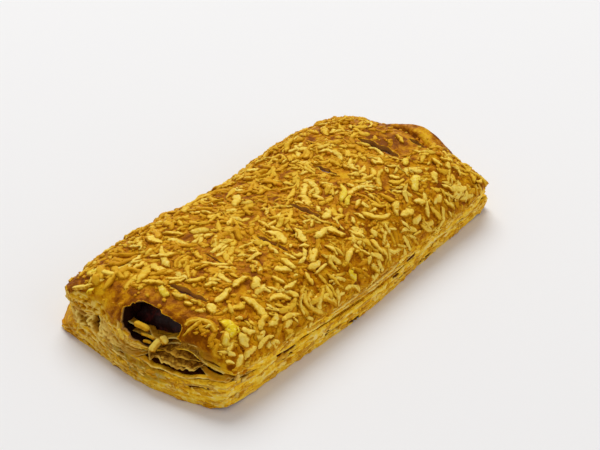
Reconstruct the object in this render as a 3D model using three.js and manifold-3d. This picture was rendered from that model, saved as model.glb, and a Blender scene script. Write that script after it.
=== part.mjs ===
// A filled puff pastry slice: a base sheet, a savoury filling that runs through the whole
// length, and a domed lid sheet with a row of vents and a burst at each short end.
// Millimetres, +Z up, +X along the length. The origin is the middle of the underside.

import * as THREE from "three";
import { mergeVertices } from "three/addons/utils/BufferGeometryUtils.js";
import Module from "manifold-3d";

// Driving dimensions of the whole slice.
const HALF_WIDTH = 39.3;
const CROWN_HEIGHT = 27.5;
const SEAL_GAP = 0.3; // clearance between touching pieces

// The base sheet.
const BASE = {
  halfLength: 79.2,
  frontBulge: 5.2, // how far the front end bows out past its corners
  bulgeCentre: -0.25, // across the width, where the end bows out the most
  bulgeSpan: 1.1, // half the share of the width that the bow takes up
  backBulge: 0.6,
  backStretch: 1, // how much further the back end reaches than the front
  sideBulge: 2.5, // how far the middle of each long side swells out
  sideCentre: -0.08,
  sideSpan: 0.65,
  backTaper: 0.9, // how much narrower each side is at the back
  frontPull: 0.034, // share of the size by which a front corner is rounded in
  backPull: 0.015,
  cornerCurl: 2, // how far the corners lift off the table
  underTuck: 0.3, // how far the bottom edge is drawn in
  leafDepth: 0.5, // depth of the grooves between the baked leaves
  leafCount: 2,
};

// The lid sheet.
const LID = {
  halfLength: 76.2,
  frontBulge: 5,
  bulgeCentre: 0.03,
  bulgeSpan: 0.55,
  backBulge: 1.2,
  backStretch: 2.4, // how much further the back end reaches than the front
  sideBulge: 0.8,
  sideCentre: -0.1,
  sideSpan: 0.7,
  backTaper: 0.2,
  frontPull: 0.03,
  backPull: 0.015,
  underTuck: 1,
  leafDepth: 0.5,
  leafCount: 2,
  frontFullness: 12, // a high power keeps the dome full right up to the end
  backFullness: 7,
  sideFullness: 3.2,
  sideSoftness: 0.75,
  quilt: 0.35, // swelling between one vent and the next
  warp: 1.5, // slow rise and fall of the dome's far side
  warpLength: 80,
  warpPeak: -36,
};

// The filling, and the chamber that holds it.
const FILLING = {
  endInset: 4.5,
  sideInset: 7.5,
  floor: 4,
  crown: 22.3,
  lump: 0.45,
};

// Vents: cuts across the top along the middle line, each with its place and size.
const VENT_DEPTH = 12;
const VENTS = [
  { x: -62.5, y: -9, length: 17, width: 2.6, turn: 3 },
  { x: -42.5, y: -4, length: 13, width: 1.8, turn: -4 },
  { x: -22.5, y: -13, length: 14, width: 2.4, turn: 4 },
  { x: 0.5, y: -10, length: 15, width: 2.8, turn: 2 },
  { x: 27.5, y: 2, length: 12, width: 2.8, turn: -3 },
  { x: 54, y: -3, length: 20, width: 4.6, turn: -2 },
  { x: 67, y: -13, length: 11, width: 2.6, turn: -3 },
];
const VENT_PITCH = 23.5;
const VENT_PHASE = -62.5;

// Bursts: ragged holes through the end walls of the lid, given by the middle of the mouth.
// Each runs inwards, falling as it goes: dip is the fall in degrees, inward is 1 or -1.
const BURST_REACH = 11; // how far a burst runs to each side of its middle
const BURSTS = [
  { x: -77, y: -4.6, z: 18, width: 21, height: 10, lean: 0.16, dip: 20, inward: 1 },
  { x: 80, y: -4, z: 16.5, width: 15, height: 7, lean: -0.1, dip: 8, inward: -1 },
];
const BURST_RAGGEDNESS = 0.1; // how far the rim strays, as a share of its radius

// How finely each piece is divided: along X, along Y and through the thickness.
const BASE_GRID = [26, 14, 5];
const LID_GRID = [36, 20, 3];
const FILLING_GRID = [26, 12, 2];

const { PI, abs, sin, cos, pow, max, min, sign, sqrt } = Math;
const mix = (a, b, t) => a + (b - a) * t;
const clamp01 = (t) => min(1, max(0, t));
const smooth = (t) => clamp01(t) ** 2 * (3 - 2 * clamp01(t));
const bump = (t, centre, halfSpan) => smooth(1 - abs(t - centre) / halfSpan);

// u and v run from -1 to 1 along the length and the width, and w from 0 to 1 up a side.
// frontness is 1 at the front end and 0 at the back, nearness 1 at the -Y side.
const frontness = (u) => (1 - u) / 2;
const nearness = (v) => (1 - v) / 2;
const atCorner = (u, v, sharpness = 8) => pow(abs(u * v), sharpness);

// How much lower the base's far front corner lies: it thins to a flat point there.
const thinCorner = (u, v) => 5.6 * smooth(1.15 - 11.3 * (1 + u) - 2.6 * (1 - v));

// 1 at the near front corner, where the two sheets are still sealed together.
const sealedCorner = (u, v) => smooth((-0.55 - v) / 0.3) * smooth((-0.8 - u) / 0.2);

// Height of the seam where the two sheets meet. The front end has risen the most.
function seamHeight(u, v) {
  const near = mix(5.6, 9.2, pow(frontness(u), 2.5));
  const far = mix(5.8, 7.6, frontness(u));
  const level = mix(far, near, nearness(v)) + 0.3 * sin(5 * u + 2 * v);
  return level - thinCorner(u, v) + 2.4 * sealedCorner(u, v);
}

// Height of the lid's rim, above which the dome begins. It rises along the front end, and
// arches up in the middle of the back end.
function rimHeight(u, v) {
  const near = mix(11.2, 14.2, pow(frontness(u), 3));
  const far = mix(11.6, 16, pow(frontness(u), 3));
  const frontLift = 3 * bump(v, -0.62, 0.42) * smooth((-u - 0.8) / 0.2);
  const arch = 7.5 * smooth((1 - abs(v - 0.1)) / 0.75) + 5.5 * bump(v, -0.14, 0.56);
  return mix(far, near, nearness(v)) + frontLift + arch * smooth((u - 0.6) / 0.4);
}

// How far the lid's lip stands open over the seam: at the corners and along the ends. At the
// front it has torn open near the burst, and as a small slot on the far half.
function lipOpening(u, v) {
  const frontEdge = smooth((-u - 0.86) / 0.12);
  const tear = 1.2 + 4 * bump(v, -0.52, 0.36) + 2 * bump(v, 0.49, 0.2);
  const farCorner = thinCorner(u, v) + 2 * atCorner(min(u, 0), max(v, 0));
  const opening = frontEdge * tear + farCorner + 1.2 * atCorner(u, v, 14);
  return SEAL_GAP + opening * (1 - 0.9 * sealedCorner(u, v));
}

// Plan of a sheet: a rectangle with bowed edges and corners rounded in.
function planPoint(u, v, sheet) {
  const rounding = u < 0 ? sheet.frontPull * (1 + 0.3 * v) : sheet.backPull;
  const pull = 1 - rounding * atCorner(u, v);
  const frontBow = sheet.frontBulge * bump(v, sheet.bulgeCentre, sheet.bulgeSpan);
  const backBow = sheet.backBulge * (1 - v * v);
  const bow = (u < 0 ? -frontBow : sheet.backStretch + backBow) * pow(abs(u), 6);
  const swell = sheet.sideBulge * bump(u, sheet.sideCentre, sheet.sideSpan);
  const taper = sheet.backTaper * smooth(u);
  const x = u * pull * sheet.halfLength + bow;
  const y = v * pull * HALF_WIDTH + (swell - taper) * v ** 5;
  return [x, y];
}

// Inward offset of a side at height w: a tucked-in bottom edge, then grooved leaves.
function sideOffset(w, along, sheet) {
  const tuck = sheet.underTuck * pow(1 - w, 3);
  const grooves = 0.5 - 0.5 * cos(2 * PI * sheet.leafCount * (w + 0.06 * sin(along)));
  return tuck + sheet.leafDepth * grooves * sin(PI * w);
}

// A place on a sheet's surface, inset where it is on a side.
function sheetPoint(u, v, w, sheet) {
  const inset = sideOffset(w, 9 * u + 7 * v, sheet);
  const narrowed = [u * (1 - inset / sheet.halfLength), v * (1 - inset / HALF_WIDTH)];
  return planPoint(...narrowed, sheet);
}

function basePoint(u, v, w) {
  const [x, y] = sheetPoint(u, v, w, BASE);
  const curl = BASE.cornerCurl - 0.3 * thinCorner(u, v);
  const under = curl * atCorner(u, v, 10);
  return [x, y, mix(under, seamHeight(u, v), w)];
}

// Share of the dome's full rise at a place: 0 round the rim and 1 in the middle.
function domeShare(u, v) {
  const fullness = u < 0 ? LID.frontFullness : LID.backFullness;
  const alongRise = sqrt(max(0, 1 - pow(abs(u), fullness)));
  const acrossRise = pow(max(0, 1 - pow(abs(v), LID.sideFullness)), LID.sideSoftness);
  return alongRise * acrossRise;
}

function lidPoint(u, v, w) {
  const [x, y] = sheetPoint(u, v, w, LID);
  const share = domeShare(u, v);
  const quilting = -LID.quilt * cos((2 * PI * (x - VENT_PHASE)) / VENT_PITCH);
  const wave = cos((2 * PI * (x - LID.warpPeak)) / LID.warpLength);
  const warping = LID.warp * wave * smooth((1 - nearness(v)) * 1.4 - 0.4);
  const rim = rimHeight(u, v);
  const top = rim + share * (CROWN_HEIGHT - rim + quilting) + warping;
  return [x, y, mix(seamHeight(u, v) + lipOpening(u, v), top, w)];
}

// The filling swells under the dome. grow is added all round to make its chamber.
function fillingPoint(u, v, w, grow) {
  const halfLength = LID.halfLength - FILLING.endInset + grow;
  const halfWidth = HALF_WIDTH - FILLING.sideInset + grow;
  const x = u * halfLength * (1 - 0.03 * atCorner(u, v, 6));
  const y = v * halfWidth * (1 - 0.06 * atCorner(u, v, 6));
  const seam = seamHeight(x / LID.halfLength, y / HALF_WIDTH);
  const lumps = FILLING.lump * sin(x / 5.5 + sin(y / 6)) * cos(y / 5);
  const rise = domeShare(u, v) * (FILLING.crown - seam + lumps);
  const low = mix(seam, FILLING.floor, smooth((1 - max(abs(u), abs(v))) * 12)) - grow;
  return [x, y, mix(low, seam + 1 + rise + grow, w)];
}

// Spreads an even division so that it is finer towards both edges, where the dome is steep.
const towardsEdges = (t) => mix(t, sin((t * PI) / 2), 0.85);

// A box of grid divisions whose points are moved by place(u, v, w).
function shapedBox(grid, place) {
  const box = new THREE.BoxGeometry(2, 2, 1, ...grid);
  box.deleteAttribute("normal");
  box.deleteAttribute("uv");
  const welded = mergeVertices(box);
  const position = welded.getAttribute("position");
  for (let i = 0; i < position.count; i++) {
    const u = towardsEdges(position.getX(i));
    const v = towardsEdges(position.getY(i));
    position.setXYZ(i, ...place(u, v, position.getZ(i) + 0.5));
  }
  return welded;
}

const wasm = await Module();
wasm.setup();

function toSolid(geometry) {
  return new wasm.Manifold(
    new wasm.Mesh({
      numProp: 3,
      vertProperties: new Float32Array(geometry.getAttribute("position").array),
      triVerts: new Uint32Array(geometry.index.array),
    }),
  );
}

function toGeometry(solid) {
  const mesh = solid.getMesh();
  const geometry = new THREE.BufferGeometry();
  geometry.setAttribute("position", new THREE.BufferAttribute(mesh.vertProperties, 3));
  geometry.setIndex(new THREE.BufferAttribute(mesh.triVerts, 1));
  geometry.computeVertexNormals();
  return geometry;
}

// A closed outline extruded along its own +Z, placed by a matrix.
function extrudedSolid(outline, depth, matrix) {
  const geometry = new THREE.ExtrudeGeometry(outline, { depth, bevelEnabled: false });
  geometry.deleteAttribute("normal");
  geometry.deleteAttribute("uv");
  return toSolid(mergeVertices(geometry.applyMatrix4(matrix), 1e-3));
}

// A vent is a lens: two arcs that meet in points at its ends.
function ventCutter({ x, y, length, width, turn }) {
  const steps = 6;
  const side = (towards) =>
    Array.from({ length: steps }, (_, i) => {
      const t = -1 + (2 * i) / steps;
      return new THREE.Vector2(
        (-towards * width * (1 - t * t)) / 2,
        (towards * t * length) / 2,
      );
    });
  const lens = new THREE.Shape([...side(1), ...side(-1)]);
  const matrix = new THREE.Matrix4()
    .makeTranslation(x, y, CROWN_HEIGHT + 2 - VENT_DEPTH)
    .multiply(new THREE.Matrix4().makeRotationZ((turn * PI) / 180));
  return extrudedSolid(lens, VENT_DEPTH, matrix);
}

// A burst is a ragged ellipse, extruded along the way that it runs inwards.
function burstCutter({ x, y, z, width, height, lean, dip, inward }) {
  const steps = 18;
  const rim = Array.from({ length: steps }, (_, i) => {
    const angle = (2 * PI * i) / steps;
    const stray = sin(3 * angle + 1) + 0.5 * cos(5 * angle);
    const reach = 1 + BURST_RAGGEDNESS * stray;
    const across = (reach * width * cos(angle)) / 2;
    return new THREE.Vector2(across, (reach * height * sin(angle)) / 2 + lean * across);
  });
  const fall = (dip * PI) / 180;
  const way = new THREE.Vector3(inward * cos(fall), 0, -sin(fall));
  const across = new THREE.Vector3(0, inward, 0);
  const up = new THREE.Vector3().crossVectors(way, across);
  const start = new THREE.Vector3(x, y, z).addScaledVector(way, -BURST_REACH);
  const facing = new THREE.Matrix4().makeBasis(across, up, way).setPosition(start);
  return extrudedSolid(new THREE.Shape(rim), 2 * BURST_REACH, facing);
}

function namedMesh(name, solid, material) {
  const mesh = new THREE.Mesh(toGeometry(solid), material);
  mesh.name = name;
  return mesh;
}

const bakedLid = new THREE.MeshStandardMaterial({ color: 0xb4791c, roughness: 0.5 });
const bakedBase = new THREE.MeshStandardMaterial({ color: 0xc99a3a, roughness: 0.65 });
const darkFilling = new THREE.MeshStandardMaterial({ color: 0x2a140c, roughness: 0.4 });

const chamber = toSolid(
  shapedBox(FILLING_GRID, (u, v, w) => fillingPoint(u, v, w, SEAL_GAP)),
);
const filling = toSolid(shapedBox(FILLING_GRID, (u, v, w) => fillingPoint(u, v, w, 0)));
const baseSheet = toSolid(shapedBox(BASE_GRID, basePoint)).subtract(chamber);
const cutters = [...VENTS.map(ventCutter), ...BURSTS.map(burstCutter)];
const lidSheet = cutters.reduce(
  (sheet, cutter) => sheet.subtract(cutter),
  toSolid(shapedBox(LID_GRID, lidPoint)).subtract(chamber),
);

// The bows of the ends differ, so the whole is moved to bring its middle to the origin.
const { min: lowest, max: highest } = baseSheet.boundingBox();
const toMiddle = [-(lowest[0] + highest[0]) / 2, -(lowest[1] + highest[1]) / 2, 0];

const pastry = new THREE.Group();
pastry.add(
  namedMesh("pastry_base", baseSheet.translate(toMiddle), bakedBase),
  namedMesh("filling", filling.translate(toMiddle), darkFilling),
  namedMesh("pastry_lid", lidSheet.translate(toMiddle), bakedLid),
);

export default pastry;
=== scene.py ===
# The looks of the cheese pastry: two puff pastry sheets, the filling between them, and the
# grated cheese, flakes and crumbs baked on. Built in millimetres, stored in metres.

import itertools
import math

import bmesh
import bpy
import numpy as np
from mathutils import Matrix, Vector
from mathutils.bvhtree import BVHTree


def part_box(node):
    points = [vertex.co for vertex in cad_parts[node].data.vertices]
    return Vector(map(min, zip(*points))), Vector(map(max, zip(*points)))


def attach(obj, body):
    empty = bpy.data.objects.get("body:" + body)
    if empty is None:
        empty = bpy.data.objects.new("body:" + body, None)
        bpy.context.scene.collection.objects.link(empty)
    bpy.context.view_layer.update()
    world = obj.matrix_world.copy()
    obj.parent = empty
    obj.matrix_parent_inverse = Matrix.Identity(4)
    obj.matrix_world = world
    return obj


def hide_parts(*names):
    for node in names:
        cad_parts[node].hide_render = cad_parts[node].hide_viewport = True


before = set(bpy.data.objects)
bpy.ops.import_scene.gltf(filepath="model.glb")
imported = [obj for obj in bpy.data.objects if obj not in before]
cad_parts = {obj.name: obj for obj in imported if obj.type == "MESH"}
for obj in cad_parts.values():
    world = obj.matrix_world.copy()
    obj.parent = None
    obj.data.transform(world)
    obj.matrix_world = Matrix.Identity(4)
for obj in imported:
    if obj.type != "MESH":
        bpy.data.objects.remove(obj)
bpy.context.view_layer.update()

MM = 0.001
UP = np.array([0.0, 0.0, 1.0])

# ---------------------------------------------------------------- small maths


def mix(a, b, t):
    return a + (b - a) * t


def smooth(t):
    t = np.clip(t, 0.0, 1.0)
    return t * t * (3 - 2 * t)


def bump(t, centre, half_span):
    return smooth(1 - np.abs(t - centre) / half_span)


def stacked(*parts):
    """One row for each point, from its columns: arrays, or one number for all the points."""
    return np.stack(np.broadcast_arrays(*parts), axis=-1)


def unit(vectors):
    return vectors / np.maximum(np.linalg.norm(vectors, axis=-1, keepdims=True), 1e-9)


def hashed(ix, iy, iz, seed):
    """A fixed whole number from 0 to 65535 for each lattice point."""
    n = (ix * 73856093) ^ (iy * 19349663) ^ (iz * 83492791) ^ (seed * 40503)
    n = (n ^ (n >> 13)) * 1274126177
    n = n & 0xFFFFFFFF
    return (n ^ (n >> 16)) & 0xFFFF


GRADIENTS = unit(np.random.default_rng(5).normal(size=(256, 3)))


def noise(points, size, seed):
    """Smooth noise from about -1 to 1, with features of about that size. size may be one
    number or one for each axis."""
    p = np.asarray(points, float) / np.asarray(size, float)
    cell = np.floor(p).astype(np.int64)
    f = p - cell
    w = f * f * f * (f * (f * 6 - 15) + 10)
    total = np.zeros(len(p))
    for corner in itertools.product((0, 1), repeat=3):
        key = hashed(*(cell + corner).T, seed)
        share = np.where(corner, w, 1 - w).prod(axis=1)
        total += share * np.einsum("ij,ij->i", GRADIENTS[key & 255], f - corner)
    return total * 1.8


def layered_noise(points, size, seed, octaves=3):
    total = np.zeros(len(points))
    for octave in range(octaves):
        total += noise(points, np.asarray(size, float) / 2**octave, seed + octave) / 2**octave
    return total


def cells(along, height, size, seed):
    """Cell noise on a plane, with cells of about that size. Returns each point's distance
    from the nearest wall between cells, in millimetres, and a fixed random number from 0 to
    1 for its cell."""
    a, b = along / size[0], height / size[1]
    ia, ib = np.floor(a).astype(np.int64), np.floor(b).astype(np.int64)
    best = np.full((2, len(a)), 81.0)
    spots = np.zeros((2, 2, len(a)))
    lot = np.zeros(len(a))
    for da in (-1, 0, 1):
        for db in (-1, 0, 1):
            ja, jb = ia + da, ib + db
            ra, rb, rc = [hashed(ja, jb, 0 * ja + k, seed) / 65535.0 for k in range(3)]
            spot = np.stack([ja + 0.15 + 0.7 * ra, jb + 0.15 + 0.7 * rb])
            away = (spot[0] - a) ** 2 + (spot[1] - b) ** 2
            first, second = away < best[0], (away >= best[0]) & (away < best[1])
            best[1] = np.where(first, best[0], np.where(second, away, best[1]))
            spots[1] = np.where(first, spots[0], np.where(second, spot, spots[1]))
            best[0] = np.where(first, away, best[0])
            spots[0] = np.where(first, spot, spots[0])
            lot = np.where(first, rc, lot)
    span = (spots[0] - spots[1]) / np.array(size)[:, None]
    return (best[1] - best[0]) / (2 * np.linalg.norm(span, axis=0) + 1e-9), lot


# ---------------------------------------------------------------- the sheets' own shape

# The driving dimensions follow those of the solids. The back corners are a little rounder,
# the near end of the back a little higher, three vents a little narrower and the mouth of the
# front burst a little fuller. Where the pastry's middle lies comes from the frame.
HALF_WIDTH = 39.3
SEAL_GAP = 0.3
BASE = dict(
    front=79.2, front_bulge=5.2, bulge_centre=-0.25, bulge_span=1.1, back_bulge=0.6,
    back_stretch=1.0, side_bulge=2.5, side_centre=-0.08, side_span=0.65, back_taper=0.9,
    front_pull=0.034, back_pull=0.022,
)  # fmt: skip
LID = dict(
    front=76.2, front_bulge=5.0, bulge_centre=0.03, bulge_span=0.55, back_bulge=1.2,
    back_stretch=2.4, side_bulge=0.8, side_centre=-0.1, side_span=0.7, back_taper=0.2,
    front_pull=0.03, back_pull=0.03,
)  # fmt: skip
# Heights of the base's and the lid's upper edges, each at the back and at the front.
SEAM_NEAR, SEAM_FAR = (5.6, 9.2), (5.8, 7.6)
RIM_NEAR, RIM_FAR = (11.2, 14.2), (11.6, 16.0)
BASE_TUCK = 0.3  # how far the base's side is drawn in at its foot
CORNER_DROP = 5.6  # how much lower the base's far front corner lies
CROWN = 27.5  # height of the dome's top
QUILT_RISE, QUILT_SPACING = 0.35, 23.5  # of the swellings between the vents
WARP_RISE, WARP_LENGTH = 1.5, 80  # of the long wave in the far half
VENT_SPREAD = 0.52  # half the width of a vent's slit for each millimetre of its width
CRUST_DROP = 1.05  # how much lower the crust is than the solid, which takes in the cheese
# The vents: middle, size, turn in degrees, depth, how dry the crumb on the floor is, and the
# width of the curled lip.
VENTS = [
    dict(x=-62.5, y=-9, length=17, width=2.6, turn=3, depth=3.6, dried=0.3, lip=1.1),
    dict(x=-42.5, y=-4, length=11, width=1.0, turn=-4, depth=1.2, dried=0.7, lip=0),
    dict(x=-22.5, y=-13, length=14, width=2.2, turn=4, depth=1.8, dried=0.6, lip=0),
    dict(x=0.5, y=-10, length=15, width=2.6, turn=2, depth=2.0, dried=0.5, lip=0.7),
    dict(x=27.5, y=2, length=12, width=2.8, turn=-3, depth=1.8, dried=0.7, lip=0.7),
    dict(x=54, y=-3, length=20, width=4.6, turn=-2, depth=2.6, dried=1.0, lip=1.0),
    dict(x=67, y=-13, length=11, width=2.6, turn=-3, depth=8.0, dried=0, lip=0),
]
# The mouths of the bursts: middle, size, and how they lean, dip inwards in degrees and face.
BURSTS = [
    dict(x=-77, y=-5.4, z=18.3, width=22.5, height=12.4, lean=0.03, dip=20, inward=1),
    dict(x=80, y=-4, z=16.5, width=15, height=7, lean=-0.1, dip=8, inward=-1),
]


# u runs from -1 at the front to 1 at the back, v from -1 at the near side to 1 at the far
# side, and w from 0 at the lower edge of a sheet's side to 1 at its upper edge.


def at_corner(u, v, sharpness=8):
    """1 at a sheet's corners, and next to nothing away from them."""
    return np.abs(u * v) ** sharpness


def thin_corner(u, v):
    """How much lower the base lies at its far front corner, where it thins to a flat point."""
    return CORNER_DROP * smooth(1.15 - 11.3 * (1 + u) - 2.6 * (1 - v))


def sealed_corner(u, v):
    """1 at the near front corner, where the two sheets are still sealed together."""
    return smooth((-0.55 - v) / 0.3) * smooth((-0.8 - u) / 0.2)


def seam_height(u, v):
    """Height of the base's upper edge, where the sheets meet."""
    frontness, nearness = (1 - u) / 2, (1 - v) / 2
    near, far = mix(*SEAM_NEAR, frontness**2.5), mix(*SEAM_FAR, frontness)
    level = mix(far, near, nearness) + 0.3 * np.sin(5 * u + 2 * v)
    return level - thin_corner(u, v) + 2.4 * sealed_corner(u, v)


def rim_height(u, v):
    """Height of the lid's upper edge, which rises in an arch at the back."""
    frontness, nearness = (1 - u) / 2, (1 - v) / 2
    near, far = mix(*RIM_NEAR, frontness**3), mix(*RIM_FAR, frontness**3)
    front_lift = 3 * bump(v, -0.62, 0.42) * smooth((-u - 0.8) / 0.2)
    arch = 7.5 * smooth((1 - np.abs(v - 0.1)) / 0.75) + 5.5 * bump(v, -0.14, 0.56)
    arch += 1.2 * bump(v, -1, 0.4)
    return mix(far, near, nearness) + front_lift + arch * smooth((u - 0.6) / 0.4)


def lip_opening(u, v):
    """How far the two sheets stand apart at their edges."""
    front_edge = smooth((-u - 0.86) / 0.12)
    tear = 1.2 + 4 * bump(v, -0.52, 0.36) + 2 * bump(v, 0.49, 0.2)
    far_corner = thin_corner(u, v) + 2 * at_corner(np.minimum(u, 0), np.maximum(v, 0))
    opening = front_edge * tear + far_corner + 1.2 * at_corner(u, v, 14)
    return SEAL_GAP + opening * (1 - 0.9 * sealed_corner(u, v))


def plan_point(u, v, sheet):
    """x and y of a sheet's points, before everything is moved to the middle."""
    rounding = np.where(u < 0, sheet["front_pull"] * (1 + 0.3 * v), sheet["back_pull"])
    pull = 1 - rounding * at_corner(u, v)
    front_bow = sheet["front_bulge"] * bump(v, sheet["bulge_centre"], sheet["bulge_span"])
    back_bow = sheet["back_stretch"] + sheet["back_bulge"] * (1 - v * v)
    bow = np.where(u < 0, -front_bow, back_bow) * np.abs(u) ** 6
    swell = sheet["side_bulge"] * bump(u, sheet["side_centre"], sheet["side_span"])
    x = u * pull * sheet["front"] + bow
    y = v * pull * HALF_WIDTH + (swell - sheet["back_taper"] * smooth(u)) * v**5
    return x, y


def front_x(v, sheet):
    """Where the sheet's front edge lies."""
    return plan_point(-1 + 0 * v, v, sheet)[0] + shift_x


def placed(x, y, z):
    """A place of the driving dimensions, where it lies in the frame."""
    return np.array([x + shift_x, y, z])


def dome_share(u, v):
    """How much of the dome's full rise there is: 0 at the rim and 1 in the middle."""
    fullness = np.where(u < 0, 12.0, 7.0)
    along = np.sqrt(np.maximum(0, 1 - np.abs(u) ** fullness))
    across = np.maximum(0, 1 - np.abs(v) ** 3.2) ** 0.75
    return along * across


def lid_top(u, v, x):
    """Height of the solid lid's top: a quilted dome that falls to the rim."""
    quilting = -QUILT_RISE * np.cos(2 * np.pi * (x - VENTS[0]["x"]) / QUILT_SPACING)
    wave = np.cos(2 * np.pi * (x + 36) / WARP_LENGTH)
    warping = WARP_RISE * wave * smooth((1 + v) / 2 * 1.4 - 0.4)
    rim = rim_height(u, v)
    return rim + dome_share(u, v) * (CROWN - rim + quilting) + warping


# ---------------------------------------------------------------- mesh making


def add_object(name, mesh, smooth_shading=True):
    """Puts a mesh in the scene."""
    mesh.polygons.foreach_set("use_smooth", [smooth_shading] * len(mesh.polygons))
    obj = bpy.data.objects.new(name, mesh)
    bpy.context.scene.collection.objects.link(obj)
    return obj


def make_object(name, points, faces, smooth_shading=True):
    """A mesh object from points in millimetres."""
    mesh = bpy.data.meshes.new(name)
    mesh.from_pydata((np.asarray(points) * MM).tolist(), [], faces)
    mesh.update()
    return add_object(name, mesh, smooth_shading)


def of_vertices(obj, what):
    flat = np.empty(len(obj.data.vertices) * 3)
    obj.data.vertices.foreach_get(what, flat)
    return flat.reshape(-1, 3)


def points_of(obj):
    """The mesh's points in millimetres."""
    return of_vertices(obj, "co") / MM


def normals_of(obj):
    return of_vertices(obj, "normal")


def set_points(obj, points):
    obj.data.vertices.foreach_set("co", (points * MM).ravel())
    obj.data.update()


def paint(obj, **paints):
    """Stores numbers for each vertex, or one for all of them, for the material to read."""
    for name, values in paints.items():
        attribute = obj.data.attributes.new(name, "FLOAT", "POINT")
        values = np.broadcast_to(values, len(obj.data.vertices))
        attribute.data.foreach_set("value", np.array(values, np.float32))


def tube_faces(rings, count):
    """Faces of a tube of rings with that many points each, closed at both ends."""
    number = np.arange(rings * count).reshape(rings, count)
    after = np.roll(number, -1, axis=1)
    walls = stacked(number[:-1], after[:-1], after[1:], number[1:]).reshape(-1, 4)
    return walls.tolist() + [number[0, ::-1].tolist(), number[-1].tolist()]


def pod_faces(rings, count):
    """Faces of rings with one more point before the first of them and one after the last."""
    number = 1 + np.arange(rings * count).reshape(rings, count)
    after = np.roll(number, -1, axis=1)
    tips = [stacked(0, number[0], after[0]), stacked(number.max() + 1, after[-1], number[-1])]
    walls = stacked(number[:-1], number[1:], after[1:], after[:-1]).reshape(-1, 4)
    return np.concatenate(tips).tolist() + walls.tolist()


def slab(upper, lower, rows, closed=False):
    """Points and faces of a slab between two alike grids of points. If it is closed, its last
    row joins on to its first."""
    count = len(upper)
    number = np.arange(count).reshape(rows, -1)
    if closed:
        number = np.concatenate([number, number[:1]])
        rims = [number[:, -1], number[::-1, 0]]
    else:
        rims = [np.concatenate([number[0], number[1:, -1], number[-1, -2::-1], number[-2::-1, 0]])]
    quads = stacked(number[:-1, :-1], number[1:, :-1], number[1:, 1:], number[:-1, 1:]).reshape(-1, 4)
    faces = [quads, quads[:, ::-1] + count]
    faces += [stacked(rim[:-1], rim[1:], rim[1:] + count, rim[:-1] + count) for rim in rims]
    return np.concatenate([upper, lower]), np.concatenate(faces).tolist()


def grid_over(low, high, columns, rows):
    """Both coordinates of a grid's points, row by row, each from low to high."""
    grid = np.meshgrid(np.linspace(low, high, columns), np.linspace(low, high, rows))
    return [part.ravel() for part in grid]


def shaped_box(nu, nv, nw, skip_top, skip_under):
    """A closed box of grid divisions, finest round the sides. Returns u, v, w and the ring
    number (-1 off the sides) of each point, and the faces."""
    us = towards_edges(np.linspace(-1, 1, nu + 1))
    vs = towards_edges(np.linspace(-1, 1, nv + 1))
    # The perimeter, anticlockwise from the far back corner: far, front, near, back.
    ring = (
        [(i, nv) for i in range(nu, 0, -1)]
        + [(0, j) for j in range(nv, 0, -1)]
        + [(i, 0) for i in range(nu)]
        + [(nu, j) for j in range(nv)]
    )
    count = len(ring)
    ring_u = us[[i for i, j in ring]]
    ring_v = vs[[j for i, j in ring]]
    parts = [(ring_u, ring_v, np.full(count, 1 - k / nw)) for k in range(nw + 1)]
    faces = []
    for k in range(nw):
        upper = np.arange(count) + k * count
        lower = upper + count
        faces += stacked(upper, lower, np.roll(lower, -1), np.roll(upper, -1)).tolist()
    filled = (nw + 1) * count
    for skip, first, w in ((skip_top, 0, 1.0), (skip_under, nw * count, 0.0)):
        inner = [(i, j) for i in range(skip, nu, skip) for j in range(skip, nv, skip)]
        index_at = {place: first + k for k, place in enumerate(ring)}
        index_at.update({place: filled + k for k, place in enumerate(inner)})
        parts.append((us[[i for i, j in inner]], vs[[j for i, j in inner]], np.full(len(inner), w)))
        filled += len(inner)
        patch = patch_faces(nu, nv, skip, index_at)
        faces += patch if w else [face[::-1] for face in patch]
    u, v, w = [np.concatenate(part) for part in zip(*parts)]
    ring_number = np.full(len(u), -1)
    ring_number[: (nw + 1) * count] = np.tile(np.arange(count), nw + 1)
    return u, v, w, ring_number, faces


def patch_faces(nu, nv, skip, index_at):
    """Cells of skip divisions, whose outer edges take in the fine perimeter points."""

    def walk(start, end):
        """Point numbers from start up to, and not including, end."""
        (i0, j0), (i1, j1) = start, end
        along_rim = (i0 == i1 and i0 in (0, nu)) or (j0 == j1 and j0 in (0, nv))
        steps = skip if along_rim else 1
        di, dj = (i1 - i0) // steps, (j1 - j0) // steps
        return [index_at[(i0 + di * n, j0 + dj * n)] for n in range(steps)]

    faces = []
    for i in range(0, nu, skip):
        for j in range(0, nv, skip):
            corners = [(i, j), (i + skip, j), (i + skip, j + skip), (i, j + skip)]
            outline = []
            for start, end in zip(corners, corners[1:] + corners[:1]):
                outline += walk(start, end)
            faces.append(outline)
    return faces


EDGE_CROWDING = 0.62  # how much finer the divisions are near a sheet's edges


def towards_edges(t):
    """Spreads an even division so that it is finer near -1 and 1."""
    return mix(t, np.sin(t * np.pi / 2), EDGE_CROWDING)


def ring_frame(points, ring_number, w):
    """For each point of the sides: the length along the perimeter and the outward way."""
    count = ring_number.max() + 1
    ring = np.zeros((count, 3))
    on_top = (ring_number >= 0) & (w == 1)
    ring[ring_number[on_top]] = points[on_top]
    ring[:, 2] = 0
    steps = np.linalg.norm(np.roll(ring, -1, axis=0) - ring, axis=1)
    length = np.concatenate([[0], np.cumsum(steps)[:-1]])
    tangent = unit(np.roll(ring, -3, axis=0) - np.roll(ring, 3, axis=0))
    outward = stacked(tangent[:, 1], -tangent[:, 0], 0.0)
    sides = ring_number >= 0
    number = np.where(sides, ring_number, 0)
    return sides, length[number], outward[number]


# ---------------------------------------------------------------- leaves on a sheet's side


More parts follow.
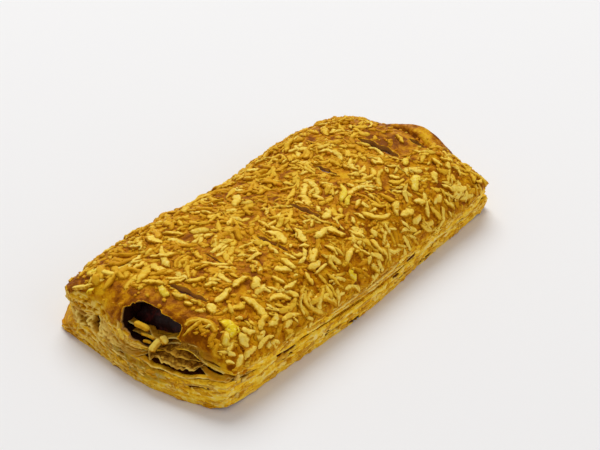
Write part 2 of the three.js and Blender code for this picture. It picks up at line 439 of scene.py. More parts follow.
def leafy_side(along, height, cell, seed):
    """Baked leaves on the side of a sheet, as a net of thin walls round smooth pockets.
    Returns how much each point is on a wall and how deep it is in a pocket, both 0 to 1."""
    flat = stacked(along, 3 * height, 0.0)
    sway = 0.9 * noise(flat, (15, 60, 1), seed) + 0.45 * noise(flat, (5, 9, 1), seed + 1)
    drift = 2.5 * noise(flat, (9, 6, 1), seed + 2)
    from_wall, lot = cells(along + drift, height + sway, cell, seed)
    wall = 1 - smooth((from_wall - 0.1) / 0.35)
    pocket = smooth((from_wall - 0.15) / 0.6) * (0.35 + 0.65 * smooth((lot - 0.15) / 0.75))
    return wall, pocket


def streaks(along, height, seed):
    """Long wavy streaks of the baked leaves on a sheet's side, from about -1 to 1."""
    flat = stacked(along, 2 * height, 0.0)
    sway = 0.9 * noise(flat, (17, 30, 1), seed) + 0.4 * noise(flat, (6, 9, 1), seed + 1)
    place = stacked(along, height + sway, 0.0)
    broad = noise(place, (13, 1.5, 1), seed + 2)
    fine = noise(place, (4.5, 0.8, 1), seed + 3)
    return np.clip(0.85 * broad + 0.6 * fine, -1, 1)


def dark_gaps(along, height, cell, seed):
    """A few long gaps between the leaves, from 0 to 1 in the middle of one. The sheets set them
    back and paint them dark brown as painted shade.
    """
    flat = stacked(along, 2 * height, 0.0)
    sway = 0.7 * noise(flat, (9, 30, 1), seed)
    drift = 3 * noise(flat, (9, 6, 1), seed + 1)
    from_wall, lot = cells(along + drift, height + sway, cell, seed)
    return smooth((from_wall - 0.45) / 0.35) * (lot > 0.84)


def zone(points, centre, size):
    """1 at the centre of an egg-shaped zone and 0 outside it."""
    away = np.linalg.norm((points - centre) / np.array(size), axis=1)
    return smooth(1.25 - away)


def cut(obj, cutter):
    """Takes the cutter away from the object."""
    step = obj.modifiers.new("cut", "BOOLEAN")
    step.operation = "DIFFERENCE"
    step.solver = "MANIFOLD"
    step.object = cutter
    depsgraph = bpy.context.evaluated_depsgraph_get()
    result = bpy.data.meshes.new_from_object(obj.evaluated_get(depsgraph))
    obj.modifiers.clear()
    old = obj.data
    obj.data = result
    bpy.data.meshes.remove(old)
    bpy.data.objects.remove(cutter)


def beside_vent(vent, across, along):
    """x and y of places that lie that far across and along a vent from its middle."""
    turn = math.radians(vent["turn"])
    x = vent["x"] + shift_x + across * math.cos(turn) - along * math.sin(turn)
    y = vent["y"] + across * math.sin(turn) + along * math.cos(turn)
    return x, y


def vent_cutter(vent, steps=14):
    """A slit with pointed ends, open to above, with room for the crumb at its bottom."""
    t = np.linspace(-1, 1, steps + 1)
    half = VENT_SPREAD * vent["width"] * (1 - t**4) * (1 + 0.25 * np.sin(9 * t + vent["x"]))
    across = np.concatenate([half[:-1], -half[:0:-1]])
    along = np.concatenate([t[:-1], t[:0:-1]]) * vent["length"] / 2
    x, y = beside_vent(vent, across, along)
    levels = (crust_above(vent) - vent["depth"] - 1, CROWN + 3)
    points = np.concatenate([stacked(x, y, z) for z in levels])
    return make_object("vent_cutter", points, tube_faces(len(levels), len(x)), False)


def burst_cutter(burst, steps=110, rings=12, reach=11.0):
    """A ragged mouth that runs inwards and down, blunt towards the far side."""
    angle = np.linspace(0, 2 * np.pi, steps, endpoint=False)
    fall = math.radians(burst["dip"])
    way = np.array([burst["inward"] * math.cos(fall), 0, -math.sin(fall)])
    across = np.array([0.0, burst["inward"], 0.0])
    up = np.cross(way, across)
    middle = placed(burst["x"], burst["y"], burst["z"])
    circle = np.array([np.cos(angle), np.sin(angle)])
    outline = np.sign(circle) * np.abs(circle) ** np.where(circle[0] > 0, 0.62, 1.0)
    stray = np.sin(3 * angle + 1) + 0.5 * np.cos(5 * angle)
    loops = [[middle - way * reach]]
    for along in np.linspace(-reach, reach, rings):
        probe = stacked(3 * circle[0], 3 * circle[1], along)
        wobble = 1.02 + 0.03 * stray + 0.16 * layered_noise(probe, 1.6, 71)
        side = wobble * burst["width"] / 2 * outline[0]
        rise = wobble * burst["height"] / 2 * outline[1] + burst["lean"] * side
        loops.append(middle + way * along + np.outer(side, across) + np.outer(rise, up))
    loops.append([middle + way * reach])
    obj = make_object("burst_cutter", np.concatenate(loops), pod_faces(rings, steps), False)
    return outward_facing(obj)


def outward_facing(obj):
    """Turns the faces round if the closed mesh is inside out."""
    work = bmesh.new()
    work.from_mesh(obj.data)
    bmesh.ops.recalc_face_normals(work, faces=work.faces)
    work.to_mesh(obj.data)
    work.free()
    return obj


# ---------------------------------------------------------------- building the sheets

# The solids were moved to bring their middle to the origin, and so is everything here.
front_reach = plan_point(np.full(400, -1.0), np.linspace(-1, 1, 400), BASE)[0].min()
shift_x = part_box("pastry_base")[0][0] / MM - front_reach * (1 - BASE_TUCK / BASE["front"])


def lid_lip(u, v):
    """Height of the lid's lower edge."""
    return seam_height(u, v) + lip_opening(u, v)


def crust_above(vent):
    """Height of the crust at the middle of a vent."""
    u, v = np.array([vent["x"] / LID["front"]]), np.array([vent["y"] / HALF_WIDTH])
    return lid_top(u, v, np.array([vent["x"]]))[0] - CRUST_DROP


def lid_shape(u, v, w):
    """The lid's side flares out towards the base, and only its back is drawn in."""
    at_back = smooth((u - 0.9) / 0.1)
    flare = 0.9 * smooth((np.abs(v) - 0.9) / 0.1) * (1 - at_back) - 0.6 * at_back
    out = flare * (1 - w) ** 1.5
    x, y = plan_point(u, v * (1 + out / HALF_WIDTH), LID)
    x -= 0.6 * at_back * (1 - w) ** 3
    top = lid_top(u, v, x) - CRUST_DROP * smooth(dome_share(u, v) * 2)
    return stacked(x + shift_x, y, mix(lid_lip(u, v), top, w))


def base_shape(u, v, w):
    """The base's upper face rises from its edge towards the lid's lip."""
    tuck = BASE_TUCK * (1 - w) ** 3
    x, y = plan_point(u * (1 - tuck / BASE["front"]), v * (1 - tuck / HALF_WIDTH), BASE)
    under = (2.0 - 0.3 * thin_corner(u, v)) * at_corner(u, v, 10)
    inwards = smooth((1 - np.abs(u)) * BASE["front"] / 7) * smooth((1 - np.abs(v)) * HALF_WIDTH / 3)
    closed = smooth((0.3 - v) / 0.2) * smooth((v + 0.25) / 0.2)
    rise = 0.6 * np.minimum(lip_opening(u, v) - SEAL_GAP, 4) * inwards * closed
    return stacked(x + shift_x, y, mix(under, seam_height(u, v) + rise, w))


def vent_field(points):
    """1 on the raised lips beside each vent."""
    lips = np.zeros(len(points))
    for vent in VENTS:
        turn = math.radians(vent["turn"])
        dx, dy = points[:, 0] - vent["x"] - shift_x, points[:, 1] - vent["y"]
        across = dx * math.cos(turn) + dy * math.sin(turn)
        t = (-dx * math.sin(turn) + dy * math.cos(turn)) / (vent["length"] / 2)
        beyond = np.abs(across) - vent["width"] / 2 * (1 - np.clip(t, -1, 1) ** 2)
        beside = np.exp(-((beyond - 0.9) ** 2) / 1.2)
        lips = np.maximum(lips, smooth(1.6 - np.abs(t)) * beside)
    return lips


ARCH_CREASE = ((74.5, 9), (66.5, -20))  # its ends, seen from above


def arch_crease(points):
    """1 in the crease beside the arch at the back end, and 1 on the arch's lip."""
    (ax, ay), (bx, by) = [(x + shift_x, y) for x, y in ARCH_CREASE]
    length = math.hypot(bx - ax, by - ay)
    across = ((points[:, 0] - ax) * (ay - by) + (points[:, 1] - ay) * (bx - ax)) / length
    along = ((points[:, 0] - ax) * (bx - ax) + (points[:, 1] - ay) * (by - ay)) / length
    bow = across - 2.2 * np.sin(np.clip(along / length, 0, 1) * np.pi)
    within = smooth(along / 4) * smooth((length - along) / 4) * (points[:, 2] > 15)
    return within * np.exp(-(bow**2) / 0.9), within * np.exp(-((bow - 2.6) ** 2) / 2.4)


def crust_relief(points):
    """Rise and fall of the baked crust, in millimetres."""
    lumps = 0.42 * noise(points, 13, 11) + 0.26 * noise(points, 4.6, 12)
    wrinkles = 0.12 * noise(points, 2.1, 13) + 0.05 * noise(points, 1.1, 14)
    blisters = 0.35 * smooth((noise(points, 6.5, 15) - 0.45) / 0.3)
    return lumps + wrinkles + blisters


def around_burst(points, burst):
    """How far each point is from a burst's middle line: 1 is at its rim."""
    fall = math.radians(burst["dip"])
    away = points - placed(burst["x"], burst["y"], burst["z"])
    side = away[:, 1] * burst["inward"]
    rise = away[:, 0] * burst["inward"] * math.sin(fall) + away[:, 2] * math.cos(fall)
    rise -= burst["lean"] * side
    return np.hypot(side / (burst["width"] / 2), rise / (burst["height"] / 2))


def fraying(points):
    """1 on the thin, wrinkled skin of the lid beside the burst, below the glazed crust."""
    below_crust = smooth(18.3 + 0.6 * noise(points, 4, 19) - points[:, 2])
    return zone(points, placed(-77, -19, 13), (7, 15, 9)) * below_crust


TOASTED_ZONES = (
    # Middle, half size and how much darker than the rest of the crust.
    ((-73, 34, 18), (9, 10, 8), 0.55), ((61, 1, 26), (8, 13, 8), 0.35),
    ((-71, -21, 20), (8, 13, 10), 0.5), ((-75, 22, 18), (6, 10, 8), -0.35),
    ((-70, 5, 24), (9, 12, 10), -0.05), ((-74, 38, 17), (6, 8, 9), 0.3),
    ((66, -36, 15), (16, 10, 12), 0.2), ((78, -12, 19), (8, 26, 12), 0.16),
    ((79.5, -10.5, 22.5), (3, 5, 2), 0.6), ((-72, 0, 20), (8, 34, 12), 0.08),
)  # fmt: skip
BURNT_STREAK = (79.5, -10.5, 22.5)  # on the arch at the back
SCORCHED_TO = -60  # the rim of the front burst is scorched ahead of this x


def crust_toast(points, cheese_map):
    """How dark the crust is painted: 0 is yellow glaze and 1 is dark brown. Mostly browning,
    with painted shade next to the cheese and in the arch's crease, and painted light on the
    near slope.
    """
    close = cheese_map.closeness(points[:, :2], 4)
    far = smooth((points[:, 1] + 18) / 26)
    toast = 0.5 + 0.34 * noise(points, 13, 61) + 0.34 * noise(points, 4.6, 62)
    # Next to cheese the crust is darker in the near half, partly browning and partly painted shade where
    # the shreds meet it, and a little paler in the far half.
    toast += mix(0.14, 0.3, far) * noise(points, 2.4, 63) + close * mix(0.25, -0.08, far)
    # The far half is browner than the near: partly its own colour, partly painted light that lifts the
    # near slope, which faces away from the key light.
    toast += mix(-0.03, 0.18, far)
    for centre, size, change in TOASTED_ZONES:
        toast += change * zone(points, placed(*centre), size)
    crease, arch_lip = arch_crease(points)
    # Painted shade darkens the crease beside the arch; the arch's lip is paler.
    toast += 0.7 * crease - 0.35 * arch_lip
    scorched = 1.3 + 0.16 * noise(points, 2.5, 64) - around_burst(points, BURSTS[0])
    burnt = 0.6 * zone(points, placed(*BURNT_STREAK), (2.4, 4.5, 1.3))
    scorched = smooth(scorched / 0.22) * (points[:, 0] < SCORCHED_TO)
    return np.clip(toast, 0, 1) + burnt + 0.5 * scorched


SHEET_DIVISIONS = (480, 256)  # along and across a sheet
LID_ROWS, BASE_ROWS = 22, 24  # divisions up a sheet's side
# A cell of a sheet's upper or under face spans so many divisions: fine where it shows.
LID_SKIPS, BASE_SKIPS = (2, 8), (4, 4)
LID_POCKET, BASE_POCKET = (3.6, 2.0), (4.6, 2.1)  # length and height of a round pocket
LID_GAP, BASE_GAP = (9, 1.9), (10, 2.2)  # and of a long gap between leaves


def raw_sheet(name, shape, rows, skips):
    """A sheet in its plain shape: the object, its points, their u, v and w, and what is
    known of those at its sides."""
    u, v, w, ring_number, faces = shaped_box(*SHEET_DIVISIONS, rows, *skips)
    points = shape(u, v, w)
    return make_object(name, points, faces), points, (u, v, w), ring_frame(points, ring_number, w)


def crust_lift(points, u, v, w, frayed, cheese_map):
    """How far the baked crust stands out from the lid's plain shape."""
    near_rim = smooth((dome_share(u, v) - 0.02) / 0.3)
    crease, arch_lip = arch_crease(points)
    relief = crust_relief(points) + 0.35 * vent_field(points) - 1.8 * crease + 0.7 * arch_lip
    relief += 0.3 * cheese_map.closeness(points[:, :2], 5) * near_rim
    lift = np.where(w == 1, relief * (0.35 + 0.65 * near_rim), 0)
    creases = np.abs(noise(points, (3.2, 7, 3.2), 17)) + 0.6 * np.abs(noise(points, (1.8, 4, 1.8), 18))
    return lift - np.where(w > 0.5, 2.8 * frayed * (0.5 - creases), 0)


def below_glaze(points, u, v):
    """1 on the far half of the lid's front, below the edge of the glaze."""
    glaze_edge = 17.2 + 1.3 * noise(points, 5, 24) - 3 * bump(points[:, 1], 11, 5)
    glaze_edge -= 3 * smooth((points[:, 1] - 29) / 5)
    below = smooth((glaze_edge - points[:, 2]) / 0.7)
    return below * smooth((v + 0.2) / 0.15) * smooth((-u - 0.9) / 0.08)


def build_lid(cheese_map):
    """The domed lid: glazed crust on top, long leaves at its sides, and a net of round pockets
    on its front's far half."""
    obj, points, (u, v, w), side = raw_sheet("crust_lid", lid_shape, LID_ROWS, LID_SKIPS)
    sides, along, outward = side
    normals = normals_of(obj)
    frayed = fraying(points)
    height = points[:, 2] - lid_lip(u, v)
    streak = streaks(along, height, 101)
    gap = dark_gaps(along, height, LID_GAP, 111)
    leaf_top = 0.68 + 0.14 * noise(points, (6, 6, 60), 23) + 0.2 * smooth((u - 0.9) / 0.1)
    leafy = np.where(sides, smooth((leaf_top - w) / 0.08), 0)
    inwards = np.maximum(0, points[:, 0] - front_x(v, LID))
    front_left = below_glaze(points, u, v) * ((w == 1) | sides)
    wall, pocket = leafy_side(-points[:, 1], height + 0.7 * inwards, LID_POCKET, 151)
    wall, pocket = wall * front_left, pocket * front_left

    set_back = 0.15 - 0.32 * streak + 0.7 * gap
    set_back = mix(0.0, set_back, leafy) * (1 - front_left) + 1.3 * pocket
    set_back += 0.7 * (1 - smooth(w / 0.14)) + 0.25 * leafy * noise(points, (7, 7, 60), 25)
    lift = crust_lift(points, u, v, w, frayed, cheese_map) - np.where(sides, 0, 1.1 * pocket)
    points = points + normals * lift[:, None] - outward * (np.where(sides, set_back, 0))[:, None]
    set_points(obj, points)
    # Painted shade: the long gaps between the leaves are painted dark brown.
    paint(
        obj, pocket=pocket, wall=wall, gap=gap * leafy * (1 - front_left),
        streak=mix(np.where(sides, 0.5 + 0.5 * streak, 0.5), 0.5, front_left),
        side=np.maximum(leafy, front_left), frayed=frayed * (w > 0.3), under=(~sides) & (w < 0.5),
        # Painted light: on the near side the lid's side below the rim is painted paler, to lift the
        # shade under the crust's edge.
        toast=crust_toast(points, cheese_map) - 0.3 * smooth((1 - w) / 0.2) * (v < 0),
    )  # fmt: skip
    return obj


def build_base():
    """The base sheet: a net of pockets at its front and long leaves at its other sides."""
    obj, points, (u, v, w), side = raw_sheet("crust_base", base_shape, BASE_ROWS, BASE_SKIPS)
    sides, along, outward = side
    height = points[:, 2]
    above = (~sides) & (w == 1)
    front_left = smooth((-u - 0.93) / 0.06) * smooth((v + 0.35) / 0.4)
    streak = streaks(along, height, 201)
    gap = dark_gaps(along, height, BASE_GAP, 211) * (1 - front_left) * smooth((1 - w) / 0.1)
    wall, pocket = leafy_side(along, height + 0.16 * (along - 105), BASE_POCKET, 251)
    wall, pocket = wall * front_left, pocket * front_left
    bare = thin_corner(u, v) / CORNER_DROP
    set_back = (0.1 - 0.3 * streak + 0.9 * gap) * (1 - front_left)
    set_back += 1.5 * pocket * smooth(w / 0.1) * smooth((1 - w) / 0.1) * (1 - bare)
    set_back += 0.1 * (1 - smooth(w / 0.05)) + 0.7 * (1 - smooth((1 - w) / 0.1)) * (v < 0.9)
    set_back += 0.3 * noise(points, (7, 7, 60), 225) + 0.1 * noise(points, (2, 2, 2), 226)
    points = points - outward * np.where(sides, set_back, 0)[:, None]
    points[:, 2] -= np.where(above, 0.2 - 0.5 * noise(points, (4, 9, 4), 31), 0)
    set_points(obj, points)
    # Painted shade: the crevice on the base's top inside its front edge, and a band of the front below
    # the burst, are painted dark brown, like the long gaps between leaves.
    within = np.maximum(0, points[:, 0] - front_x(v, BASE))
    crevice = smooth((within - 1.4) / 1.5) * smooth((-u - 0.8) / 0.1) * smooth((14 - points[:, 1]) / 4)
    below_burst = np.hypot((points[:, 1] + 3) / 17, (height - 6.5) / 4.2)
    shaded = smooth((1.2 - below_burst) / 0.5) * smooth((-u - 0.93) / 0.05)
    paint(
        obj, pocket=pocket * sides * (1 - bare), wall=wall * sides * (1 - bare),
        gap=np.where(sides, np.maximum(gap, 0.4 * shaded), crevice * above),
        streak=np.where(sides, 0.5 + 0.5 * streak, 0.3) * (1 - 0.9 * bare),
        side=sides | above, toast=0.5, frayed=0, under=(~sides) & (w < 0.5),
    )  # fmt: skip
    return obj


# ---------------------------------------------------------------- thin leaves at the edges

HALF_LENGTH = 78.0
EDGE_LENGTH = 4 * (HALF_LENGTH + HALF_WIDTH)
ROUND_STEPS, FRONT_STEPS = 780, 1100  # divisions of the whole way round
FRONT_SHARE = (0.285, 0.56)  # the part of the way round that the front leaves take


class Edge:
    """Points round the sheets' edge, far side first, then front, near and back, with the
    heights of the sheets there. first and last are shares of the way round."""

    def __init__(self, count, first=0.0, last=1.0):
        run = np.linspace(0, EDGE_LENGTH, count, endpoint=False)
        run = run[(run / EDGE_LENGTH >= first) & (run / EDGE_LENGTH <= last)]
        marks = np.cumsum([0, 2 * HALF_LENGTH, 2 * HALF_WIDTH, 2 * HALF_LENGTH, 2 * HALF_WIDTH])
        u = np.interp(run, marks, [1, -1, -1, 1, 1])
        v = np.interp(run, marks, [1, 1, -1, -1, 1])
        self.u, self.v, self.run = u, v, run
        self.whole = first == 0 and last == 1
        self.base_top, self.lid_low, self.lid_top = seam_height(u, v), lid_lip(u, v), rim_height(u, v)
        at_side = smooth((np.abs(v) - 0.9) / 0.1) * smooth((0.99 - u) / 0.05)
        x, self.y = plan_point(u, v, BASE)
        lid_x, lid_y = plan_point(u, v * (1 + 0.9 * at_side / HALF_WIDTH), LID)
        self.shelf = np.hypot(x - lid_x, self.y - lid_y)
        self.at_front = smooth((-u - 0.93) / 0.06)

    def wave(self, size, seed):
        """Noise along the edge, from about -1 to 1."""
        t = 2 * np.pi * self.run / EDGE_LENGTH
        loop = stacked(np.cos(t), np.sin(t), 0) * EDGE_LENGTH / (2 * np.pi)
        return noise(loop + 300, size, seed)


def leaf_strip(
    edge, outer, inner, height_out, height_in, thickness, seed,
    pale=1.0, olive=0, across=6, crumple=0.25, fold=2.6,
):  # fmt: skip
    """A thin strip of pastry along the edge. outer and inner say how far its two edges lie
    within the base's edge, and the heights are those of its upper face. fold is how long its
    creases run outwards."""
    ranks = []
    for t in np.linspace(0, 1, across):
        within = mix(inner, outer, t)
        x, y = plan_point(edge.u * (1 - within / HALF_LENGTH), edge.v * (1 - within / HALF_WIDTH), BASE)
        place = stacked(x + shift_x, y, mix(height_in, height_out, t**1.3))
        creases = noise(place, (fold, 2.6, 50), seed) + 0.5 * noise(place, (fold / 2, 1.3, 50), seed + 1)
        place[:, 2] += crumple * creases * min(1.0, 3 * t)
        ranks.append(place)
    top = np.stack(ranks, axis=1)
    bottom = top.copy()
    bottom[:, :, 2] -= thickness * (1 - 0.55 * np.linspace(0, 1, across) ** 2)
    points, faces = slab(top.reshape(-1, 3), bottom.reshape(-1, 3), len(edge.u), edge.whole)
    from_rim = np.abs(inner - outer)[:, None] * np.linspace(1, 0, across)
    rim = np.clip(1 - from_rim / 0.9, 0, 1).ravel()
    return points, faces, dict(rim=np.tile(rim, 2), pale=pale, olive=olive)


def join_parts(name, parts):
    """One object from (points, faces, paints) parts. paints says for each name the numbers of
    the points, or one number for all of them."""
    faces = []
    filled = 0
    for points, part_faces, _ in parts:
        faces += [[filled + index for index in face] for face in part_faces]
        filled += len(points)
    obj = make_object(name, np.concatenate([points for points, _, _ in parts]), faces)
    for key in parts[0][2]:
        values = [np.broadcast_to(paints[key], len(points)) for points, _, paints in parts]
        paint(obj, **{key: np.concatenate(values)})
    return outward_facing(obj)


def round_strips():
    """Leaf edges all the way round: at the lid's lip and side, and at the base's edge. They
    stick out a little and draw back again."""
    edge = Edge(ROUND_STEPS)
    lid_height = edge.lid_top - edge.lid_low
    at_burst = edge.at_front * bump(edge.y, BURSTS[0]["y"], 17)
    in_slot = edge.at_front * bump(edge.y, 19, 8)
    at_corner_leaf = edge.at_front * smooth((edge.y - 10) / 5)
    for k, (level, out) in enumerate(((0.19, 0.15), (0.52, 0.05))):
        wave = edge.wave(9, 300 + k)
        stick_out = out + 0.55 * wave + 0.35 * edge.wave(3, 310 + k)
        stick_out -= k * (1.5 * edge.at_front + 3 * at_burst) + in_slot
        height = edge.lid_low + lid_height * level + 0.8 * edge.wave(14, 320 + k) * k
        height = np.maximum(height + 0.35, edge.lid_low + 0.35)
        outer = edge.shelf - stick_out
        yield leaf_strip(edge, outer, outer + 2.2, height + 0.1 * wave, height, 0.7, 330 + k)
    for k, (level, out, pale) in enumerate(((0.82, 0.1, 1.0), (0.45, -0.3, 0.3))):
        stick_out = out + 0.45 * edge.wave(12, 340 + k) + 0.3 * edge.wave(3.5, 350 + k) - 0.15
        stick_out -= at_corner_leaf * (1.5 if k else 0.0)
        height = edge.base_top * level + 0.7 * edge.wave(15, 360 + k) * k
        yield leaf_strip(edge, -stick_out, 2.4 - stick_out, height, height, 0.6, 370 + k, pale)


def front_strips():
    """Leaves between the sheets at the front: none in the far half, where the torn leaf
    hangs, a pile of them below the burst, and nearer by a thin wrinkled apron over a dark
    crevice."""
    edge = Edge(FRONT_STEPS, *FRONT_SHARE)
    slot = smooth((edge.y - 12) / 3)
    apron = smooth((-edge.y - 3) / 6) * smooth((-edge.u - 0.87) / 0.12) * smooth((edge.y + 34) / 7)
    span = edge.lid_low - edge.base_top
    outer = 0.7 + 0.4 * edge.wave(6, 400) + 0.25 * edge.wave(2.4, 410) + 7 * slot
    height = edge.base_top + 0.3 + 0.25 * edge.wave(5, 430)
    yield leaf_strip(edge, outer, outer + 2, height, height - 0.4, 0.4, 440, 0.8)
    for k, level in enumerate((0.3, 0.55, 0.8, 1.0)):
        outer = edge.shelf * level + 0.5 * edge.wave(6, 450 + k) + 0.3 * edge.wave(2.4, 460 + k)
        outer = outer + 10 * slot + 5 * apron + 4 * smooth((-edge.y - 23) / 5) * (k > 0)
        height = edge.base_top + span * level * 0.9 + 0.3 * edge.wave(5, 470 + k)
        yield leaf_strip(
            edge, outer, outer + 3, height, height + 0.2 * span, 0.4, 480 + k, 0.7, 0.35)  # fmt: skip
    for k, (reach, drop, deep) in enumerate(((3.0, 2.0, 0.9), (2.2, 1.5, 1.3), (4.4, 4.0, 0.9))):
        wander = 0.9 * edge.wave(7, 490 + k) + 0.5 * edge.wave(2.4, 500 + k)
        outer = mix(edge.shelf + 1.0, reach + wander, apron)
        low = edge.base_top + drop + 0.6 * edge.wave(4, 510 + k)
        high = edge.lid_low + 0.6 - 0.4 * (2 - k)
        yield leaf_strip(
            edge, outer, np.maximum(edge.shelf + 1.6, outer + 1), mix(high, low, apron), high, 0.35,
            520 + k, 0.5 - 0.4 * (k != 1), 1.0, across=14, crumple=deep, fold=7)  # fmt: skip
    outer = mix(edge.shelf + 3, edge.shelf - 0.6 + 0.5 * edge.wave(4, 531), apron)
    height = edge.lid_top + 0.5 + 0.5 * edge.wave(5, 532)
    yield leaf_strip(edge, outer, outer + 2.5, height, height - 0.3, 0.5, 533, 1.0, 0.6)


STRUTS = (
    # Raised threads on the front of the base: y and z of each end, and the width.
    ((24.6, 7.2), (13.6, 3.8), 0.6), ((19.4, 8.0), (6.8, 4.4), 0.6), ((11.2, 8.2), (-2.4, 5.0), 0.6),
    ((15.6, 3.4), (2.0, 1.8), 0.6), ((32.6, 3.2), (25.0, 2.2), 0.5), ((3.0, 5.6), (-12.0, 3.4), 0.6),
    ((-6.0, 6.8), (-22.0, 4.6), 0.6),
)  # fmt: skip


def struts():
    """The raised threads of pastry on the front of the base."""
    for start, end, width in STRUTS:
        t = np.linspace(-1, 1, 21)
        y, z = [mix(start[k], end[k], (t + 1) / 2) for k in range(2)]
        z = z + 0.6 * noise(stacked(y, z, 0), (3.2, 9, 1), 71)
        v = y / HALF_WIDTH
        x = mix(front_x(v, BASE), front_x(v, LID), 0.05) + 0.5
        path = stacked(x, y, z)
        way, side = ways_of(path, np.array([-1.0, 0, 0]))
        taper = np.sqrt(np.maximum(0.02, 1 - t**4))
        half_width = width / 2 * taper * (1 + 0.5 * noise(path, 1.6, 72))
        sizes = (half_width, 0.5 * taper, 0 * t + 0.2, 0.6 + 0.2 / width)
        ring, faces, crest = strip_of_cheese(path, side, np.cross(way, side), *sizes)
        ring += 0.14 * noise(ring, 0.7, 74)[:, None]
        yield ring, faces, dict(rim=0.4 + 0.6 * crest, pale=1, olive=0)


def torn_leaf(rows=40, columns=116):
    """The leaf that still hangs from the lid's far front edge down to the base: a net of soft
    strands round hollows, one of which is a deep slot. Its olive paint is above 0.85 there,
    which the leaf look turns near black as painted shade."""
    s, t = grid_over(0, 1, columns, rows)
    y = mix(mix(35.6, 27.5, t), mix(16, 5, t), s)
    v = y / HALF_WIDTH
    x = mix(front_x(v, LID) + 0.2, front_x(v, BASE) + 0.5, smooth(1.1 * t)) - 0.5 * np.sin(np.pi * t)
    z = mix(lid_lip(-1 + 0 * v, v) + 1.2, seam_height(-1 + 0 * v, v) - 0.3, t)
    flat = stacked(24 * s, 7 * t, 0)
    along = flat[:, 0] + 1.2 * noise(flat, (5, 3, 1), 611)
    height = flat[:, 1] + 0.8 * noise(flat, (4, 3, 1), 612)
    from_wall, lot = cells(along, height, (3.8, 2.0), 613)
    slot = smooth((1.35 - np.hypot((along - 18.2 + 0.95 * height) / 1.5, (t - 0.52) / 0.4)) / 0.6)
    bowl = smooth((1.2 - np.hypot((along - 7.3) / 2.5, (height - 4.2) / 2.2)) / 0.4)
    hollow = np.maximum(smooth((from_wall - 0.2) / 0.4) * (0.4 + 0.6 * lot), bowl)
    tucked = np.maximum(smooth((0.06 - s) / 0.06), smooth((s - 0.92) / 0.08))
    tucked = np.maximum(tucked, smooth((0.1 - t) / 0.1))
    x += 1.5 * hollow + 4.5 * slot + 2.2 * tucked - 0.3 * noise(flat, 1.1, 614)
    front = stacked(x, y, z)
    # Olive paint above 1.1 in the slot is painted shade: near black in the leaf look.
    hollow = np.tile(np.maximum(hollow, 2.6 * slot), 2)
    paints = dict(rim=np.maximum(1 - hollow, 0), pale=1, olive=0.85 * hollow)
    return *slab(front, front + [0.5, 0, 0], rows), paints


CORNER_LUMPS = (
    # Middle and half size of the flakes on the near front corner.
    ((-73.8, -38.9, 11.4), (1.3, 0.6, 1.1)), ((-73.9, -38.9, 4.4), (1.0, 0.5, 1.0)),
    ((-70.4, -39.0, 8.8), (1.6, 0.5, 0.8)), ((-75.8, -38.6, 8.0), (0.8, 0.5, 0.6)),
)  # fmt: skip


def corner_flakes(rng):
    for middle, size in CORNER_LUMPS:
        yield *lump(rng, placed(*middle), np.array(size)), dict(rim=1, pale=1.2, olive=0)


def build_leaves():
    """The thin leaf edges that show round the pastry and at its burst front."""
    flakes = corner_flakes(np.random.default_rng(8))
    parts = [*round_strips(), *front_strips(), *flakes, torn_leaf(), *struts()]
    return join_parts("leaf_edges", parts)


RIM_PLACES = 2400  # places round the edge where a flake can begin
FLAKE_LENGTHS = (1.6, 6.5)
ON_BASE = 0.55  # the share of the flakes that are on the base


def rim_places():
    """Places along the base's edge, the outward way there, and the edge itself."""
    edge = Edge(RIM_PLACES)
    x, y = plan_point(edge.u, edge.v, BASE)
    place = stacked(x + shift_x, y)
    tangent = unit(np.roll(place, -6, axis=0) - np.roll(place, 6, axis=0))
    return place, stacked(tangent[:, 1], -tangent[:, 0]), edge


def on_side(trees, place, outward):
    """The nearest point of the sheets' sides inwards of a place and its normal, or None."""
    out = Vector((*outward, 0))
    start = Vector(place) + 4 * out
    hits = [tree.ray_cast(start * MM, -out, 9 * MM) for tree in trees]
    hits = [hit for hit in hits if hit[0] is not None]
    if not hits:
        return None
    hit = min(hits, key=lambda found: found[3])
    return np.array(hit[0]) / MM, unit(np.array(hit[1]) + 0.7 * np.array(out))


def build_side_flakes(trees, rng, count):
    """Small ragged flakes that stand off the leaves at the sides of both sheets."""
    place, outward, edge = rim_places()
    step = EDGE_LENGTH / RIM_PLACES
    parts = []
    while len(parts) < count:
        first, length = rng.integers(RIM_PLACES), rng.uniform(*FLAKE_LENGTHS)
        t = np.linspace(-1, 1, max(4, int(length / 0.7)))
        index = (first + np.round((t + 1) / 2 * length / step).astype(int)) % RIM_PLACES
        low, high = edge.lid_low[first] + 1.2, edge.lid_top[first] - 0.7
        if rng.random() < ON_BASE:
            low, high = 0.4, edge.base_top[first] - 1.1
        z = rng.uniform(low, max(low, high)) + rng.uniform(-0.5, 0.5) * t
        z = z + 0.2 * rng.normal(size=len(t))
        found = [on_side(trees, (*place[k], height), outward[k]) for k, height in zip(index, z)]
        if None in found:
            continue
        path, normals = np.array(found).swapaxes(0, 1)
        if np.abs(np.diff(path, axis=0)).max() > 1.6:
            continue
        up = unit(normals + rng.uniform(-0.6, 0.6) * UP)
        _, side = ways_of(path, up)
        taper = np.maximum(0.2, 1 - np.abs(t) ** rng.choice([1.5, 3]))
        half_width = rng.uniform(0.25, 0.65) * taper * (1 + 0.3 * rng.normal(size=len(t)).clip(-1, 1))
        sizes = (half_width, rng.uniform(0.2, 0.55) * taper, 0 * t + 0.1, 0.5)
        ring, faces, crest = strip_of_cheese(path, side, up, *sizes)
        ring += 0.05 * rng.normal(size=ring.shape)
        ring[:, 2] = np.maximum(ring[:, 2], 0.05)
        rim = crest * rng.uniform(0.3, 1)
        parts.append((ring, faces, dict(rim=rim, pale=rng.uniform(0, 1), olive=0)))
    return join_parts("side_flakes", parts)


FRONT_END = -70  # ahead of this x the painted shade in the torn pastry deepens four times as fast
PER_CM = 100


